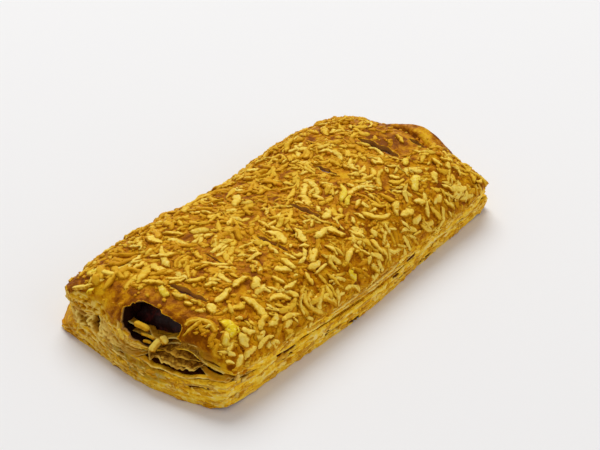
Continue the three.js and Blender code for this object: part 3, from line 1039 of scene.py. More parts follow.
def inside_depth(obj, skin):
    """Paints how deep each point lies below the sheet's own skin, in centimetres, or in
    quarters of them at the front end. Without a skin it is 0 everywhere. The crust look
    darkens cut faces with it, as painted shade in the vents and the burst."""
    depth = np.zeros(len(obj.data.vertices))
    if skin:
        tree = BVHTree.FromPolygons(
            [v.co for v in skin.data.vertices], [tuple(p.vertices) for p in skin.data.polygons]
        )
        for k, vertex in enumerate(obj.data.vertices):
            _, _, _, away = tree.find_nearest(vertex.co)
            depth[k] = away * PER_CM * (1 if vertex.co.x > FRONT_END * MM else 4)
        bpy.data.meshes.remove(skin.data)
    paint(obj, inside=depth)


def chamber_cutter():
    """The room that the filling takes: its own solid, grown by the seal gap."""
    obj = welded_copy("filling", "chamber_cutter")
    set_points(obj, points_of(obj) + normals_of(obj) * SEAL_GAP)
    return obj


def welded_copy(node, name, cuts=0):
    """A copy of a CAD node's mesh, with its points joined and its faces divided."""
    work = bmesh.new()
    work.from_mesh(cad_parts[node].data)
    bmesh.ops.remove_doubles(work, verts=work.verts, dist=0.02 * MM)
    if cuts:
        bmesh.ops.subdivide_edges(work, edges=work.edges, cuts=cuts, use_grid_fill=True)
    mesh = bpy.data.meshes.new(name)
    work.to_mesh(mesh)
    work.free()
    return add_object(name, mesh)


def build_filling():
    """The dark, lumpy filling. It swells up under the widest vent."""
    obj = welded_copy("filling", "moist_filling", cuts=3)
    points, normals = points_of(obj), normals_of(obj)
    lumps = 0.9 * np.abs(noise(points, 5.5, 41)) + 0.5 * np.abs(noise(points, 2.2, 42))
    points -= normals * (lumps + 0.15)[:, None]
    near_vent = np.zeros(len(points))
    for vent in VENTS:
        size = (vent["width"] + 2, vent["length"] * 0.7, 8)
        near_vent = np.maximum(near_vent, zone(points, placed(vent["x"], vent["y"], 23), size))
    points[:, 2] += 3.0 * near_vent * smooth(normals[:, 2])
    set_points(obj, points)
    paint(obj, vent_floor=0.3 * near_vent)
    return obj


def build_vent_crumb():
    """The torn, uneven crumb at the bottom of each vent but the last, which is open to the
    filling. It ends within the vent's walls."""
    parts = []
    for vent in VENTS[:-1]:
        nu, nv = 9, 2 * int(vent["length"]) + 1
        s, t = grid_over(-1, 1, nu, nv)
        half = VENT_SPREAD * vent["width"] * (1 - 0.9 * t**4) + 0.35
        x, y = beside_vent(vent, s * half, t * (vent["length"] / 2 + 0.3))
        plan = stacked(x, y, 0)
        lumps = 0.7 * noise(plan, (1.3, 3.2, 1), 91) + 0.4 * noise(plan, (0.7, 1.2, 1), 92)
        level = crust_above(vent) - vent["depth"] - 0.3 + lumps - 0.5 * s
        top = stacked(x, y, np.clip(level, level.mean() - 0.65, crust_above(vent) - 0.3))
        parts.append((*slab(top, top - [0, 0, 1.2], nv), dict(vent_floor=vent["dried"])))
    return join_parts("vent_crumb", parts)


# ---------------------------------------------------------------- grated cheese

CELL = 0.5  # size of a square of the map that says where cheese lies

# The top is unrolled across: a place on it is given by x and by the length over the dome from
# the middle line, so that the steep edges get their share of cheese. It ends this far down the
# two long sides, where the glazed crust ends.
WALL = 2.6


def unrolled_profile(samples=801, reach=16):
    """The dome's middle section: length over it, y, z, and the outward way, smoothed over
    that many samples to each side."""
    v = np.linspace(-1, 1, samples)
    z = lid_top(0 * v, v, 0 * v)
    drop = np.linspace(WALL, 0, 40, endpoint=False)
    y = np.concatenate([0 * drop - HALF_WIDTH, v * HALF_WIDTH, 0 * drop + HALF_WIDTH])
    z = np.concatenate([z[0] - drop, z, (z[-1] - drop)[::-1]])
    arc = np.concatenate([[0], np.cumsum(np.hypot(np.diff(y), np.diff(z)))])
    arc -= arc[len(drop) + samples // 2]
    even = np.linspace(arc[0], arc[-1], 640)
    out = [-np.interp(even, arc, np.gradient(z, arc)), np.interp(even, arc, np.gradient(y, arc))]
    soft = [np.convolve(np.pad(way, reach, "edge"), np.ones(2 * reach + 1), "valid") for way in out]
    out = unit(np.stack(soft, axis=1))
    return even, np.interp(even, arc, y), np.interp(even, arc, z), out[:, 0], out[:, 1]


PROFILE = unrolled_profile()
profile_arc, profile_y = PROFILE[:2]
NEAR_EDGE, FAR_EDGE = profile_arc[0], profile_arc[-1]
MARGIN = 2  # of the map beyond the unrolled top, at each side
MAP_LOW = np.array([-86.0, NEAR_EDGE - MARGIN])
MAP_SHAPE = (int(-2 * MAP_LOW[0] / CELL), int((FAR_EDGE - NEAR_EDGE + 2 * MARGIN) / CELL))
CHEESE_ENDS = (-77, 80)  # the cheese lies between these x


def unrolled(plan):
    """Places on the unrolled top, from places seen from above."""
    across = np.interp(plan[:, 1], profile_y, profile_arc)
    return stacked(plan[:, 0], across)


class CheeseMap:
    """Keeps how high the cheese is piled on each place of the unrolled top."""

    def __init__(self):
        self.pile = np.zeros(MAP_SHAPE)
        self.kept_clear = np.zeros(MAP_SHAPE, bool)

    def squares(self, places):
        """The rows and columns of the map's squares that the places lie in."""
        index = ((places - MAP_LOW) / CELL).astype(int)
        return np.clip(index, 0, np.array(MAP_SHAPE) - 1).T

    def crowding(self, path):
        """How much of a path lies on cheese, with what must stay in sight counted more."""
        i, j = self.squares(path)
        return ((self.pile[i, j] > 0) + 3.0 * self.kept_clear[i, j]).mean()

    def covered_area(self):
        return (self.pile > 0).sum() * CELL**2

    def cover(self, shred):
        """Adds a shred, which rests on what lies there already."""
        below = np.pad(self.pile[tuple(self.squares(shred.path))], 1, "edge")
        shred.lift = np.minimum(0.7 * np.convolve(below, [0.3, 0.4, 0.3], "valid"), 0.7)
        radius = shred.width / 2 + 0.1
        reach = np.arange(-radius, radius + CELL, CELL)
        for dx in reach:
            for dy in reach:
                if dx * dx + dy * dy <= radius * radius:
                    i, j = self.squares(shred.path + [dx, dy])
                    self.pile[i, j] = np.maximum(self.pile[i, j], shred.lift + shred.height)

    def closeness(self, plan, reach=4):
        """1 where cheese lies and less further off, to 0 at that many squares away."""
        spread = self.pile > 0
        near = spread.astype(float)
        for step in range(1, reach):
            grown = spread.copy()
            for way, axis in itertools.product((1, -1), (0, 1)):
                grown |= np.roll(spread, way, axis)
            near[grown & ~spread] = 1 - step / reach
            spread = grown
        i, j = self.squares(unrolled(plan))
        return near[i, j]


BARE_ZONES = (
    # Middle and half sizes of the parts of the unrolled top that hold little cheese.
    (76, -4, 9, 15), (60, 0, 5, 12), (-74, -4, 8, 22), (-76, 24, 5, 22), (-74, 40, 8, 12),
    (80, -39, 4.5, 4),
)  # fmt: skip


def cheese_density(x, across):
    """How much of the unrolled top is covered, from 0 to 1."""
    density = smooth((across - NEAR_EDGE) / 1.2) * smooth((FAR_EDGE - across + 0.4) / 0.8)
    density *= smooth((x - CHEESE_ENDS[0]) / 3) * smooth((CHEESE_ENDS[1] - x) / 3)
    thick = noise(np.array([[x, across, 0.0]]), 9, 81)[0]
    density *= 0.3 + 0.7 * smooth((thick + 0.35) / 0.5)
    for zone_x, zone_across, half_x, half_across in BARE_ZONES:
        away = math.hypot((x - shift_x - zone_x) / half_x, (across - zone_across) / half_across)
        density *= 1 - 0.93 * smooth((1.2 - away) / 0.4)
    for vent in VENTS:
        dx, dy = x - vent["x"] - shift_x, across - vent["y"]
        if abs(dx) < vent["width"] / 2 + 0.5 and abs(dy) < vent["length"] / 2:
            density *= 0.05
    return density


def shred_path(rng, x, y, heading, length):
    """A gently curved path seen from above, through (x, y) at its middle."""
    steps = int(np.clip(round(length / 0.8), 5, 13))
    curve = rng.normal(0, 0.04) + rng.choice([0, 0, 0, 0, 0.12, -0.12])
    kink = rng.normal(0, 0.2)
    t = np.linspace(-0.5, 0.5, steps)
    angle = heading + curve * length * t + kink * np.sin(6 * t)
    moves = stacked(np.cos(angle), np.sin(angle)) * length / (steps - 1)
    path = np.concatenate([[[0, 0]], np.cumsum(moves[:-1], axis=0)])
    return path - path[steps // 2] + [x, y]


# Lengths and widths of the scattered shreds: mean and spread of their logarithms, and limits.
LENGTHS, LENGTH_LIMITS = (1.8, 0.52), (2.2, 15)
WIDTHS, WIDTH_LIMITS = (0.36, 0.38), (0.7, 3)
STAR_SHARE, FORKED_SHARE = 0.16, 0.5  # how many are melted clumps, or have an arm


class Shred:
    """One piece of grated cheese: its path from above, its size, how pointed its ends are
    (a high number is blunt), its tint, and how far it has melted into the crust."""

    def __init__(self, path, width, height, point, tint, melt):
        self.path, self.width, self.height = path, width, height
        self.point, self.tint, self.melt = point, tint, melt
        self.lift = np.zeros(len(path))


def plan_star(rng, x, y, tint, melt):
    """A melted clump: a few tapered arms from one middle."""
    arms = rng.integers(3, 6)
    start = rng.uniform(0, 2 * np.pi)
    star = []
    for arm in range(arms):
        turn = start + arm * 2 * np.pi / arms + rng.normal(0, 0.35)
        length = rng.uniform(3, 7.5)
        middle = np.array([x, y]) + 0.42 * length * np.array([np.cos(turn), np.sin(turn)])
        path = shred_path(rng, *middle, turn, length)
        star.append(Shred(path, rng.uniform(1.2, 2.2), rng.uniform(0.5, 0.8), 2.2, tint, melt))
    return star


def plan_forked(rng, shred):
    """A shred with an arm melted on to it."""
    middle = shred.path[len(shred.path) // 2]
    along = shred.path[-1] - shred.path[0]
    turn = math.atan2(along[1], along[0]) + rng.choice([-1, 1]) * rng.uniform(0.5, 1.2)
    length = 0.55 * np.linalg.norm(along)
    place = middle + 0.5 * length * np.array([math.cos(turn), math.sin(turn)])
    arm = shred_path(rng, *place, turn, length)
    return [shred, Shred(arm, 0.8 * shred.width, shred.height, 2, shred.tint, shred.melt)]


def plan_one(rng, x, y):
    """A shred, forked shred or clump at that place."""
    far = smooth((y + 24) / 30)
    # Far shreds are browner than near ones: partly their own colour, partly painted light that lifts the
    # near slope, which faces away from the key light.
    browned = 0.04 + 0.48 * far + 0.4 * smooth((x - 62) / 10)
    tint = np.clip(rng.normal(browned, 0.35), 0, 1.2)
    melt = np.clip(rng.normal(0.35 + 0.35 * far, 0.3), 0, 1)
    if rng.random() < STAR_SHARE + 0.04 * far:
        return plan_star(rng, x, y, tint, melt)
    length = np.clip(rng.lognormal(*LENGTHS), *LENGTH_LIMITS) * (1 - 0.1 * far)
    width = min(np.clip(rng.lognormal(*WIDTHS), *WIDTH_LIMITS), 0.38 * length)
    path = shred_path(rng, x, y, rng.uniform(0, np.pi), length)
    height = mix(rng.uniform(0.55, 0.85), 0.35, melt) + 0.45 * smooth((y - 10) / 10)
    shred = Shred(path, width, height, rng.choice([3, 5, 9, 12]), tint, melt)
    forked = length > 5 and rng.random() < FORKED_SHARE
    return plan_forked(rng, shred) if forked else [shred]


def plan_shreds(rng, cheese_map, area):
    """Chooses the shreds one after another, until they cover that many square millimetres."""
    shreds = []
    while cheese_map.covered_area() < area:
        x, y = rng.uniform(*CHEESE_ENDS), rng.uniform(NEAR_EDGE, FAR_EDGE)
        if rng.random() > cheese_density(x, y):
            continue
        for shred in plan_one(rng, x, y):
            ends = [cheese_density(*shred.path[0]), cheese_density(*shred.path[-1])]
            if min(ends) > 0.02 and cheese_map.crowding(shred.path) < 0.6:
                shreds.append(shred)
                cheese_map.cover(shred)
    return shreds


def plan_threads(rng, count):
    """Thin ridges of cheese that have melted away into the crust."""
    threads = []
    while len(threads) < count:
        x, y = rng.uniform(*CHEESE_ENDS), rng.uniform(NEAR_EDGE, FAR_EDGE)
        if rng.random() > 0.05 + 0.95 * cheese_density(x, y):
            continue
        length = rng.uniform(2.5, 8)
        path = shred_path(rng, x, y, rng.uniform(0, np.pi), length)
        width, height = rng.uniform(0.4, 1.0), rng.uniform(0.2, 0.42)
        if min(cheese_density(*path[0]), cheese_density(*path[-1])) > 0.005:
            threads.append(Shred(path, width, height, 2, rng.uniform(0.6, 1.5), 0.9))
    return threads


def vent_lips(rng):
    """The thin pale leaf that has curled up along one side of some vents."""
    lips = []
    for vent in VENTS:
        if not vent["lip"]:
            continue
        t = np.linspace(-1, 1, 2 * int(vent["length"] / 1.4) + 1)
        side = -VENT_SPREAD * vent["width"] * (1 - t**4) - 0.2 + 0.22 * rng.normal(size=len(t))
        path = unrolled(stacked(*beside_vent(vent, side, t * (vent["length"] / 2 + 1))))
        lips.append(Shred(path, vent["lip"], 0.5, 8, 0.3, 0.4))
    return lips


LARGE_SHREDS = (
    # The shreds and melted clumps that stand out most: x, y, heading, length, width, tint.
    (-64.5, -29, 100, 8, 4.6, -0.5), (-66, -30.5, 30, 6, 3.6, -0.5), (-70, -31.5, 40, 5.5, 2.8, -0.2),
    (-65, -35, 80, 7, 3.4, 0), (-61.5, -33.5, 140, 6, 2.4, 0.1), (-58, -37.6, 4, 9, 1.8, 0.1),
    (-66, -37.8, 8, 7, 2, 0.1), (-51.3, -29, 94, 12, 3.2, 0.2), (-54.5, -33.6, 20, 7, 2.2, 0.3),
    (-43, -22.8, 35, 6.5, 3, 0.1), (-41, -30.6, -28, 10, 2.6, 0.2), (-43, -36.4, -14, 9, 1.8, 0.2),
    (-36, -27, -72, 5, 2, 0.2), (-31, -24.6, -40, 7, 2.8, 0.1), (-28, -24, 85, 7, 3, 0),
    (-26.6, -31.6, 80, 5.5, 2.4, 0.2), (-63, -19.8, 60, 5, 4, 0), (-66.6, -1.6, 60, 7, 2.6, -0.3),
    (-64.8, 3.4, 105, 9, 2, 0.3), (-65.6, -8.4, 95, 7, 1.5, 0.3), (-64.6, -14.4, 100, 5, 1.2, 0.4),
    (-56, -19.4, 5, 8, 2.8, 0.1), (-47, -18.6, 0, 8, 2.2, 0.2), (-53, 10, 52, 12, 2.4, 0.1),
    (-53, 10.5, -48, 9, 2, 0.2), (-47, 20, 70, 9, 3.4, 0.1), (-39, 17, -60, 8, 2.6, 0.2),
    (-33, 10.8, -50, 7, 2.8, 0.2), (-20, -29.5, 0, 7.6, 2.4, 0.2), (-11.5, -31, -62, 8, 2, 0.1),
    (-13.6, -31.6, 62, 7, 1.8, 0.2), (-7.4, -30, 88, 5, 1.5, 0.3), (-4.4, -32.6, 20, 8, 2.2, 0.2),
    (-9.5, -37, 88, 4.6, 2.4, -0.4), (-4, -22, -14, 10, 3, 0), (-1.5, -25, -50, 7, 2.6, 0.1),
    (4.6, -17, 32, 8.5, 2.6, 0), (18.5, -13.4, 38, 12, 2.4, -0.3), (16, -16.6, 20, 6, 1.8, -0.3),
    (-17.5, -12, 88, 11, 3.6, 0.1), (18, -29, -32, 13, 2.4, 0.2), (11.4, -32, 60, 4, 2.8, 0),
    (28, -29.6, 30, 7, 2.8, 0.1), (30.5, -33, -10, 7, 3, 0.1), (10.6, -7.4, 86, 5.6, 1.8, 0.1),
    (6, 0.8, 22, 10.5, 1.6, 0.4), (-8, 14.6, 40, 9, 3.4, 0.2), (44.5, -26.4, 24, 9, 3.6, -0.2),
    (55, -28.6, 42, 6.4, 2.8, 0.1), (51.6, -17.2, 20, 5.6, 2.6, -0.2), (38.4, 6, 96, 12, 2, 0.1),
    (62, -25, 84, 5.4, 2.2, 0.2), (33, -36, 10, 6, 2.4, 0.1), (47.4, -35, 6, 6, 2.4, 0.2),
    (50.6, -5.6, 84, 9, 1.5, 0.1), (50.8, 2, 98, 6, 1.3, 0.3), (64.6, -6, 60, 7, 1.4, 0.4),
)  # fmt: skip


def plan_large_shreds(rng, cheese_map):
    """The largest shreds and the vents' lips, which the others must leave in sight."""
    shreds = []
    for x, y, heading, length, width, tint in LARGE_SHREDS:
        place = unrolled(np.array([[x + shift_x, y]]))[0]
        path = shred_path(rng, *place, math.radians(heading), length)
        shreds.append(Shred(path, width, 0.85, 3, tint, 0.3))
        cheese_map.cover(shreds[-1])
    for lip in vent_lips(rng):
        shreds.append(lip)
        cheese_map.cover(lip)
    cheese_map.kept_clear = cheese_map.pile > 0
    return shreds


IN_BURST = 6  # the first shreds of the front end fell into the burst, the rest lie on the crust
FRONT_SHREDS = (
    # The two ends, the width and the tint of each.
    ((-80.9, -8.6, 12.2), (-77.2, -9.4, 14.8), 2.6, 0.0),
    ((-77.4, -12.0, 14.6), (-76.4, -9.6, 15.4), 2.6, 0.1),
    ((-78.4, 0.6, 18.0), (-77.2, -4.6, 16.8), 2.2, 0.7),
    ((-78.6, -2.2, 15.4), (-77.6, -7.4, 14.8), 1.0, 0.5),
    ((-79.4, -3.8, 13.6), (-78.6, -6.6, 13.4), 0.9, 0.5),
    ((-81.4, 5.6, 15.4), (-82.0, 3.0, 12.2), 1.7, 0.2),
    ((-75.4, 32.4, 17.6), (-75.2, 24.6, 22.6), 1.8, 0.1),
    ((-76.6, 24.8, 19.0), (-76.4, 22.6, 20.4), 2.6, -0.5),
    ((-70.0, 30.0, 21.2), (-66.6, 26.0, 22.4), 2.4, -0.3),
    ((-67.6, 24.8, 22.6), (-67.4, 19.0, 23.4), 2.2, -0.1),
)


def cheese_at_front(tree):
    """The shreds at the front end, in the burst and above it."""
    for number, (start, end, width, tint) in enumerate(FRONT_SHREDS):
        t = np.linspace(-1, 1, 9)
        start, end = placed(*start), placed(*end)
        path = start + np.outer((t + 1) / 2, end - start) + np.outer(0.3 * (1 - t * t), UP)
        if number >= IN_BURST:
            found = [tree.find_nearest(Vector(place) * MM) for place in path]
            path = np.array([np.array(spot) / MM + 0.1 * np.array(out) for spot, out, _, _ in found])
        way, side = ways_of(path, UP)
        taper = np.maximum(0.55, (1 - np.abs(t) ** 9) ** 0.5) * (1 + 0.15 * noise(path, 1.5, 73))
        sizes = (width / 2 * taper, 0.5 * width * np.sqrt(taper), 0 * t, 0.8)
        ring, faces, crest = strip_of_cheese(path, side, np.cross(way, side), *sizes)
        tip = np.repeat(np.abs(t) ** 3, SECTION)
        yield ring, faces, dict(tint=tint, tip=tip, crest=np.maximum(crest, 0.5), melt=0)


def top_of(tree, places):
    """Points and normals of the crust at unrolled places, or None if one misses it."""
    _, y, z, out_y, out_z = [np.interp(places[:, 1], profile_arc, column) for column in PROFILE]
    u = np.clip((places[:, 0] - shift_x) / LID["front"], -1, 1)
    rim_rise = rim_height(u, np.sign(y)) - rim_height(0 * u, np.sign(y))
    z = z + rim_rise * smooth((np.abs(y) / HALF_WIDTH - 0.8) / 0.2)
    points, normals = np.zeros((len(places), 3)), np.zeros((len(places), 3))
    for k, x in enumerate(places[:, 0]):
        out = Vector((0, out_y[k], out_z[k]))
        start = Vector((x, y[k], z[k])) + 12 * out
        place, normal, _, _ = tree.ray_cast(start * MM, -out, 26 * MM)
        if place is None or normal.dot(out) < 0.35:
            return None
        points[k], normals[k] = np.array(place) / MM, normal
    return points, normals


SECTION = 8  # points round a strip


def ways_of(path, up):
    """The way along a path and the way to its side, at each of its points."""
    way = unit(np.gradient(path, axis=0))
    return way, unit(np.cross(up, way))


def strip_of_cheese(path, side, up, half_width, height, skirt, sunk):
    """Points and faces of a strip along a path, domed above and spread out at its foot, and
    for each point how near it is to the crest."""
    across = np.array([1.0, 0.93, 0.64, 0.0, -0.64, -0.93, -1.0, 0.0])
    rise = np.array([0.0, 0.66, 0.98, 0.94, 0.98, 0.66, 0.0, 0.0])
    spread = np.array([1.0, 0.2, 0, 0, 0, -0.2, -1.0, 0])
    depth = np.array([0.12, 0, 0, 0, 0, 0, 0.12, sunk])
    wide = half_width[:, None] * across + skirt[:, None] * spread
    high = height[:, None] * rise - depth
    rings = path[:, None] + side[:, None] * wide[:, :, None] + up[:, None] * high[:, :, None]
    crest = np.tile([0.0, 0.4, 0.9, 1.0, 0.9, 0.4, 0.0, 0.0], len(path))
    return rings.reshape(-1, 3), tube_faces(len(path), SECTION), crest


def lay_shred(shred, tree, rng):
    """A shred laid on the crust and melted a little into it."""
    found = top_of(tree, shred.path)
    if found is None:
        return None
    ground, normals = found
    up = unit(normals + 0.1 * UP)
    level = ground.copy()
    level[1:-1] = 0.5 * ground[1:-1] + 0.25 * (ground[:-2] + ground[2:])
    level += up * shred.lift[:, None]
    way, side = ways_of(level, up)
    up = unit(up + rng.uniform(-0.3, 0.3) * side)
    side = unit(np.cross(up, way))
    t = np.linspace(-1, 1, len(ground))
    skew = t + rng.uniform(-0.3, 0.3) * (1 - t * t)
    taper = np.maximum(0.3, (1 - np.abs(skew) ** shred.point) ** 0.6)
    uneven = 1 + 0.1 * np.sin(4 * t + rng.uniform(0, 6)) + 0.12 * np.sin(9 * t + rng.uniform(0, 6))
    wedge = 1 + rng.uniform(-0.3, 0.3) * t
    half_width = shred.width / 2 * taper * uneven * wedge
    level += side * (0.04 * shred.width * rng.normal(size=(len(t), 1)))
    height = shred.height * taper**0.6 * (0.96 + 0.15 * np.sin(7 * t + rng.uniform(0, 6)))
    skirt = (0.12 + 0.75 * shred.melt) * (0.4 + 0.6 * taper)
    sunk = 0.5 + shred.lift.max()
    ring, faces, crest = strip_of_cheese(level, side, up, half_width, height, skirt, sunk)
    ring += 0.1 * rng.normal(size=ring.shape)
    tip = np.repeat(np.abs(t) ** 3, SECTION)
    return ring, faces, dict(tint=shred.tint, tip=tip, crest=crest, melt=shred.melt)


def build_shreds(name, shreds, tree, rng, more=()):
    laid = [lay_shred(shred, tree, rng) for shred in shreds]
    return join_parts(name, [part for part in laid if part] + list(more))


def lump(rng, middle, size, turns=7, rows=3):
    """Points and faces of a small uneven lump."""
    points = [middle + [0, 0, size[2]]]
    for fall in np.pi * np.arange(1, rows + 1) / (rows + 1):
        angle = np.linspace(0, 2 * np.pi, turns, endpoint=False) + rng.uniform(0, 1)
        ring = stacked(np.sin(fall) * np.cos(angle), np.sin(fall) * np.sin(angle), np.cos(fall))
        points += list(middle + ring * size * (1 + 0.24 * rng.normal(size=(turns, 1))))
    points.append(middle - [0, 0, size[2]])
    return np.array(points), pod_faces(rows, turns)


def build_grains(tree, rng, count):
    """Small crumbs of cheese, some of them as brown as the crust."""
    parts = []
    while len(parts) < count:
        x, y = rng.uniform(-78, 79), rng.uniform(NEAR_EDGE + 0.3, FAR_EDGE - 0.3)
        if rng.random() > 0.2 + 0.8 * cheese_density(x, y):
            continue
        found = top_of(tree, np.array([[x, y]]))
        if found is None:
            continue
        size = rng.uniform(0.3, 0.85) * np.array([rng.uniform(1.0, 1.8), 1, 0.6])
        turn = rng.uniform(0, np.pi)
        points, faces = lump(rng, np.zeros(3), size)
        spin = np.array([[np.cos(turn), -np.sin(turn)], [np.sin(turn), np.cos(turn)]])
        points[:, :2] = points[:, :2] @ spin.T
        points += found[0][0] + [0, 0, 0.15 * size[1]]
        tint = rng.choice([0.5, 0.9, 1.1, 1.3, 1.5])
        parts.append((points, faces, dict(tint=tint, tip=0, crest=1, melt=1)))
    return join_parts("cheese_grains", parts)


# ---------------------------------------------------------------- materials


def linear(red, green, blue):
    """A colour given as it looks on screen, from 0 to 255, as the shader wants it."""
    share = np.array([red, green, blue]) / 255.0
    low = share / 12.92
    high = ((share + 0.055) / 1.055) ** 2.4
    return (*np.where(share <= 0.04045, low, high).tolist(), 1.0)


class Look:
    """A material made of nodes. Sizes are in millimetres."""

    def __init__(self, name):
        self.material = bpy.data.materials.new(name)
        self.material.use_nodes = True
        self.tree = self.material.node_tree
        self.shader = self.tree.nodes["Principled BSDF"]
        self.place = self.tree.nodes.new("ShaderNodeTexCoord").outputs["Object"]

    def link(self, source, socket):
        """source is another node's output, a number, or a colour as it looks on screen."""
        if isinstance(source, bpy.types.NodeSocket):
            self.tree.links.new(source, socket)
        else:
            socket.default_value = linear(*source) if isinstance(source, tuple) else source

    def node(self, kind, inputs, **settings):
        """A new node, with what its inputs take and its settings."""
        node = self.tree.nodes.new("ShaderNode" + kind)
        for name, value in settings.items():
            setattr(node, name, value)
        for name, source in inputs.items():
            self.link(source, node.inputs[name])
        return node

    def painted(self, name):
        return self.node("Attribute", {}, attribute_name=name).outputs["Fac"]

    def noise(self, size, detail=3.0, roughness=0.55, distortion=0.0):
        inputs = {"Vector": self.place, "Scale": 1 / (size * MM), "Detail": detail}
        inputs.update({"Roughness": roughness, "Distortion": distortion})
        return self.node("TexNoise", inputs).outputs["Fac"]

    def step(self, value, low, high, to_low=0.0, to_high=1.0):
        """value from low to high becomes to_low to to_high, smoothly and within bounds."""
        inputs = {"Value": value, "From Min": low, "From Max": high, "To Min": to_low, "To Max": to_high}
        return self.node("MapRange", inputs, interpolation_type="SMOOTHSTEP").outputs["Result"]

    def sum(self, kind, a, b):
        return self.node("Math", {0: a, 1: b}, operation=kind).outputs[0]

    def varied(self, value, texture, amount):
        """value, raised and lowered by up to that amount by a texture."""
        return self.sum("ADD", value, self.step(texture, 0.25, 0.75, -amount, amount))

    def blend(self, share, a, b):
        return self.node("Mix", {0: share, 6: a, 7: b}, data_type="RGBA").outputs[2]

    def ramp(self, value, colour, *turns):
        """colour, which turns to another between the low and high value of each turn."""
        for low, high, other in turns:
            colour = self.blend(self.step(value, low, high), colour, other)
        return colour

    def bump(self, height, depth):
        """Fine relief of that depth, in millimetres."""
        node = self.node("Bump", {"Distance": depth * MM, "Height": height})
        self.link(node.outputs["Normal"], self.shader.inputs["Normal"])

    def grainy_bump(self, mottled, grain, depth):
        """Relief of a mottled texture and of much finer grains of that size."""
        self.bump(self.sum("ADD", mottled, self.noise(grain, 2)), depth)

    def finish(self, colour, roughness, shine, tint=None):
        """The material, with these at its shader. tint is the colour of its shine."""
        self.link(colour, self.shader.inputs["Base Color"])
        self.link(roughness, self.shader.inputs["Roughness"])
        self.shader.inputs["Specular IOR Level"].default_value = shine
        if tint:
            self.link(tint, self.shader.inputs["Specular Tint"])
        return self.material


def crust_look():
    """Glazed, baked puff pastry: from yellow through golden to dark brown on top, paler and
    streaky leaves at the sides, with round pockets or long gaps between them. Pockets, gaps,
    crevices and cut faces are darkened with painted shade."""
    look = Look("baked_crust")
    patchy = look.noise(4.5, 3, distortion=0.9)
    mottled = look.noise(2.0, 3, 0.6, distortion=0.8)
    toast = look.varied(look.varied(look.painted("toast"), mottled, 0.24), patchy, 0.2)
    glaze = [(0.1, 0.42, (204, 138, 8)), (0.42, 0.78, (168, 99, 4)), (0.75, 1.05, (128, 67, 3))]
    frayed = look.ramp(mottled, (116, 68, 8), (0.4, 0.62, (190, 140, 40)))
    top = look.blend(look.painted("frayed"), look.ramp(toast, (224, 170, 24), *glaze), frayed)
    streak = look.varied(look.painted("streak"), mottled, 0.25)
    leaf = look.ramp(
        streak, (212, 146, 18), (0.1, 0.4, (246, 194, 38)), (0.46, 0.62, (250, 214, 76)),
        (0.66, 0.9, (252, 226, 136)),
    )  # fmt: skip
    pocket = look.painted("pocket")
    # Painted shade: the deeper in a round pocket, the darker brown the leaf.
    shade = look.ramp(pocket, (226, 166, 22), (0.5, 1.0, (182, 116, 8)))
    leaf = look.ramp(pocket, leaf, (0.15, 0.6, shade))
    leaf = look.blend(look.step(look.painted("wall"), 0.2, 0.9, 0, 0.85), leaf, (244, 208, 104))
    # Painted shade: the long gaps, the crevice and the band below the burst turn dark brown.
    leaf = look.ramp(look.painted("gap"), leaf, (0.1, 0.7, (98, 46, 10)))
    leaf = look.blend(look.painted("frayed"), leaf, frayed)
    colour = look.blend(look.painted("side"), top, leaf)
    inside = look.painted("inside")
    # Cut faces: tan crumb just below the skin, then painted shade to near black the deeper they lie.
    crumb = look.ramp(inside, (198, 146, 74), (0.1, 0.45, (40, 18, 12)))
    colour = look.ramp(inside, colour, (0.0, 0.04, crumb))
    under = look.blend(patchy, (196, 140, 40), (150, 92, 12))
    colour = look.blend(look.painted("under"), colour, under)
    look.grainy_bump(mottled, 0.6, 0.3)
    return look.finish(colour, look.step(mottled, 0.3, 0.7, 0.36, 0.56), 0.05, (255, 160, 30))


def leaf_look():
    """Thin leaves of pastry: golden faces with pale rims, or olive and see-through thin, and
    near black painted shade in the torn leaf's slot.
    """
    look = Look("pastry_leaves")
    patchy = look.noise(5, 2)
    mottled = look.noise(1.6, 3, 0.6)
    face = look.ramp(patchy, (240, 188, 38), (0.4, 0.62, (214, 150, 16)))
    face = look.ramp(mottled, face, (0.5, 0.7, (186, 124, 14)))
    olive = look.ramp(mottled, (108, 64, 8), (0.36, 0.64, (190, 138, 40)))
    face = look.blend(look.painted("olive"), face, olive)
    # Painted shade: olive paint above 1.1, in the torn leaf's slot, turns near black.
    face = look.ramp(look.painted("olive"), face, (1.1, 1.8, (58, 26, 10)))
    rim = look.blend(look.painted("pale"), (236, 186, 58), (254, 226, 122))
    rim = look.blend(look.step(patchy, 0.42, 0.6, 0, 0.8), rim, (206, 152, 50))
    colour = look.ramp(look.painted("rim"), face, (0.2, 0.95, rim))
    look.grainy_bump(mottled, 0.6, 0.2)
    return look.finish(colour, look.step(mottled, 0.3, 0.7, 0.42, 0.62), 0.05, (255, 180, 60))


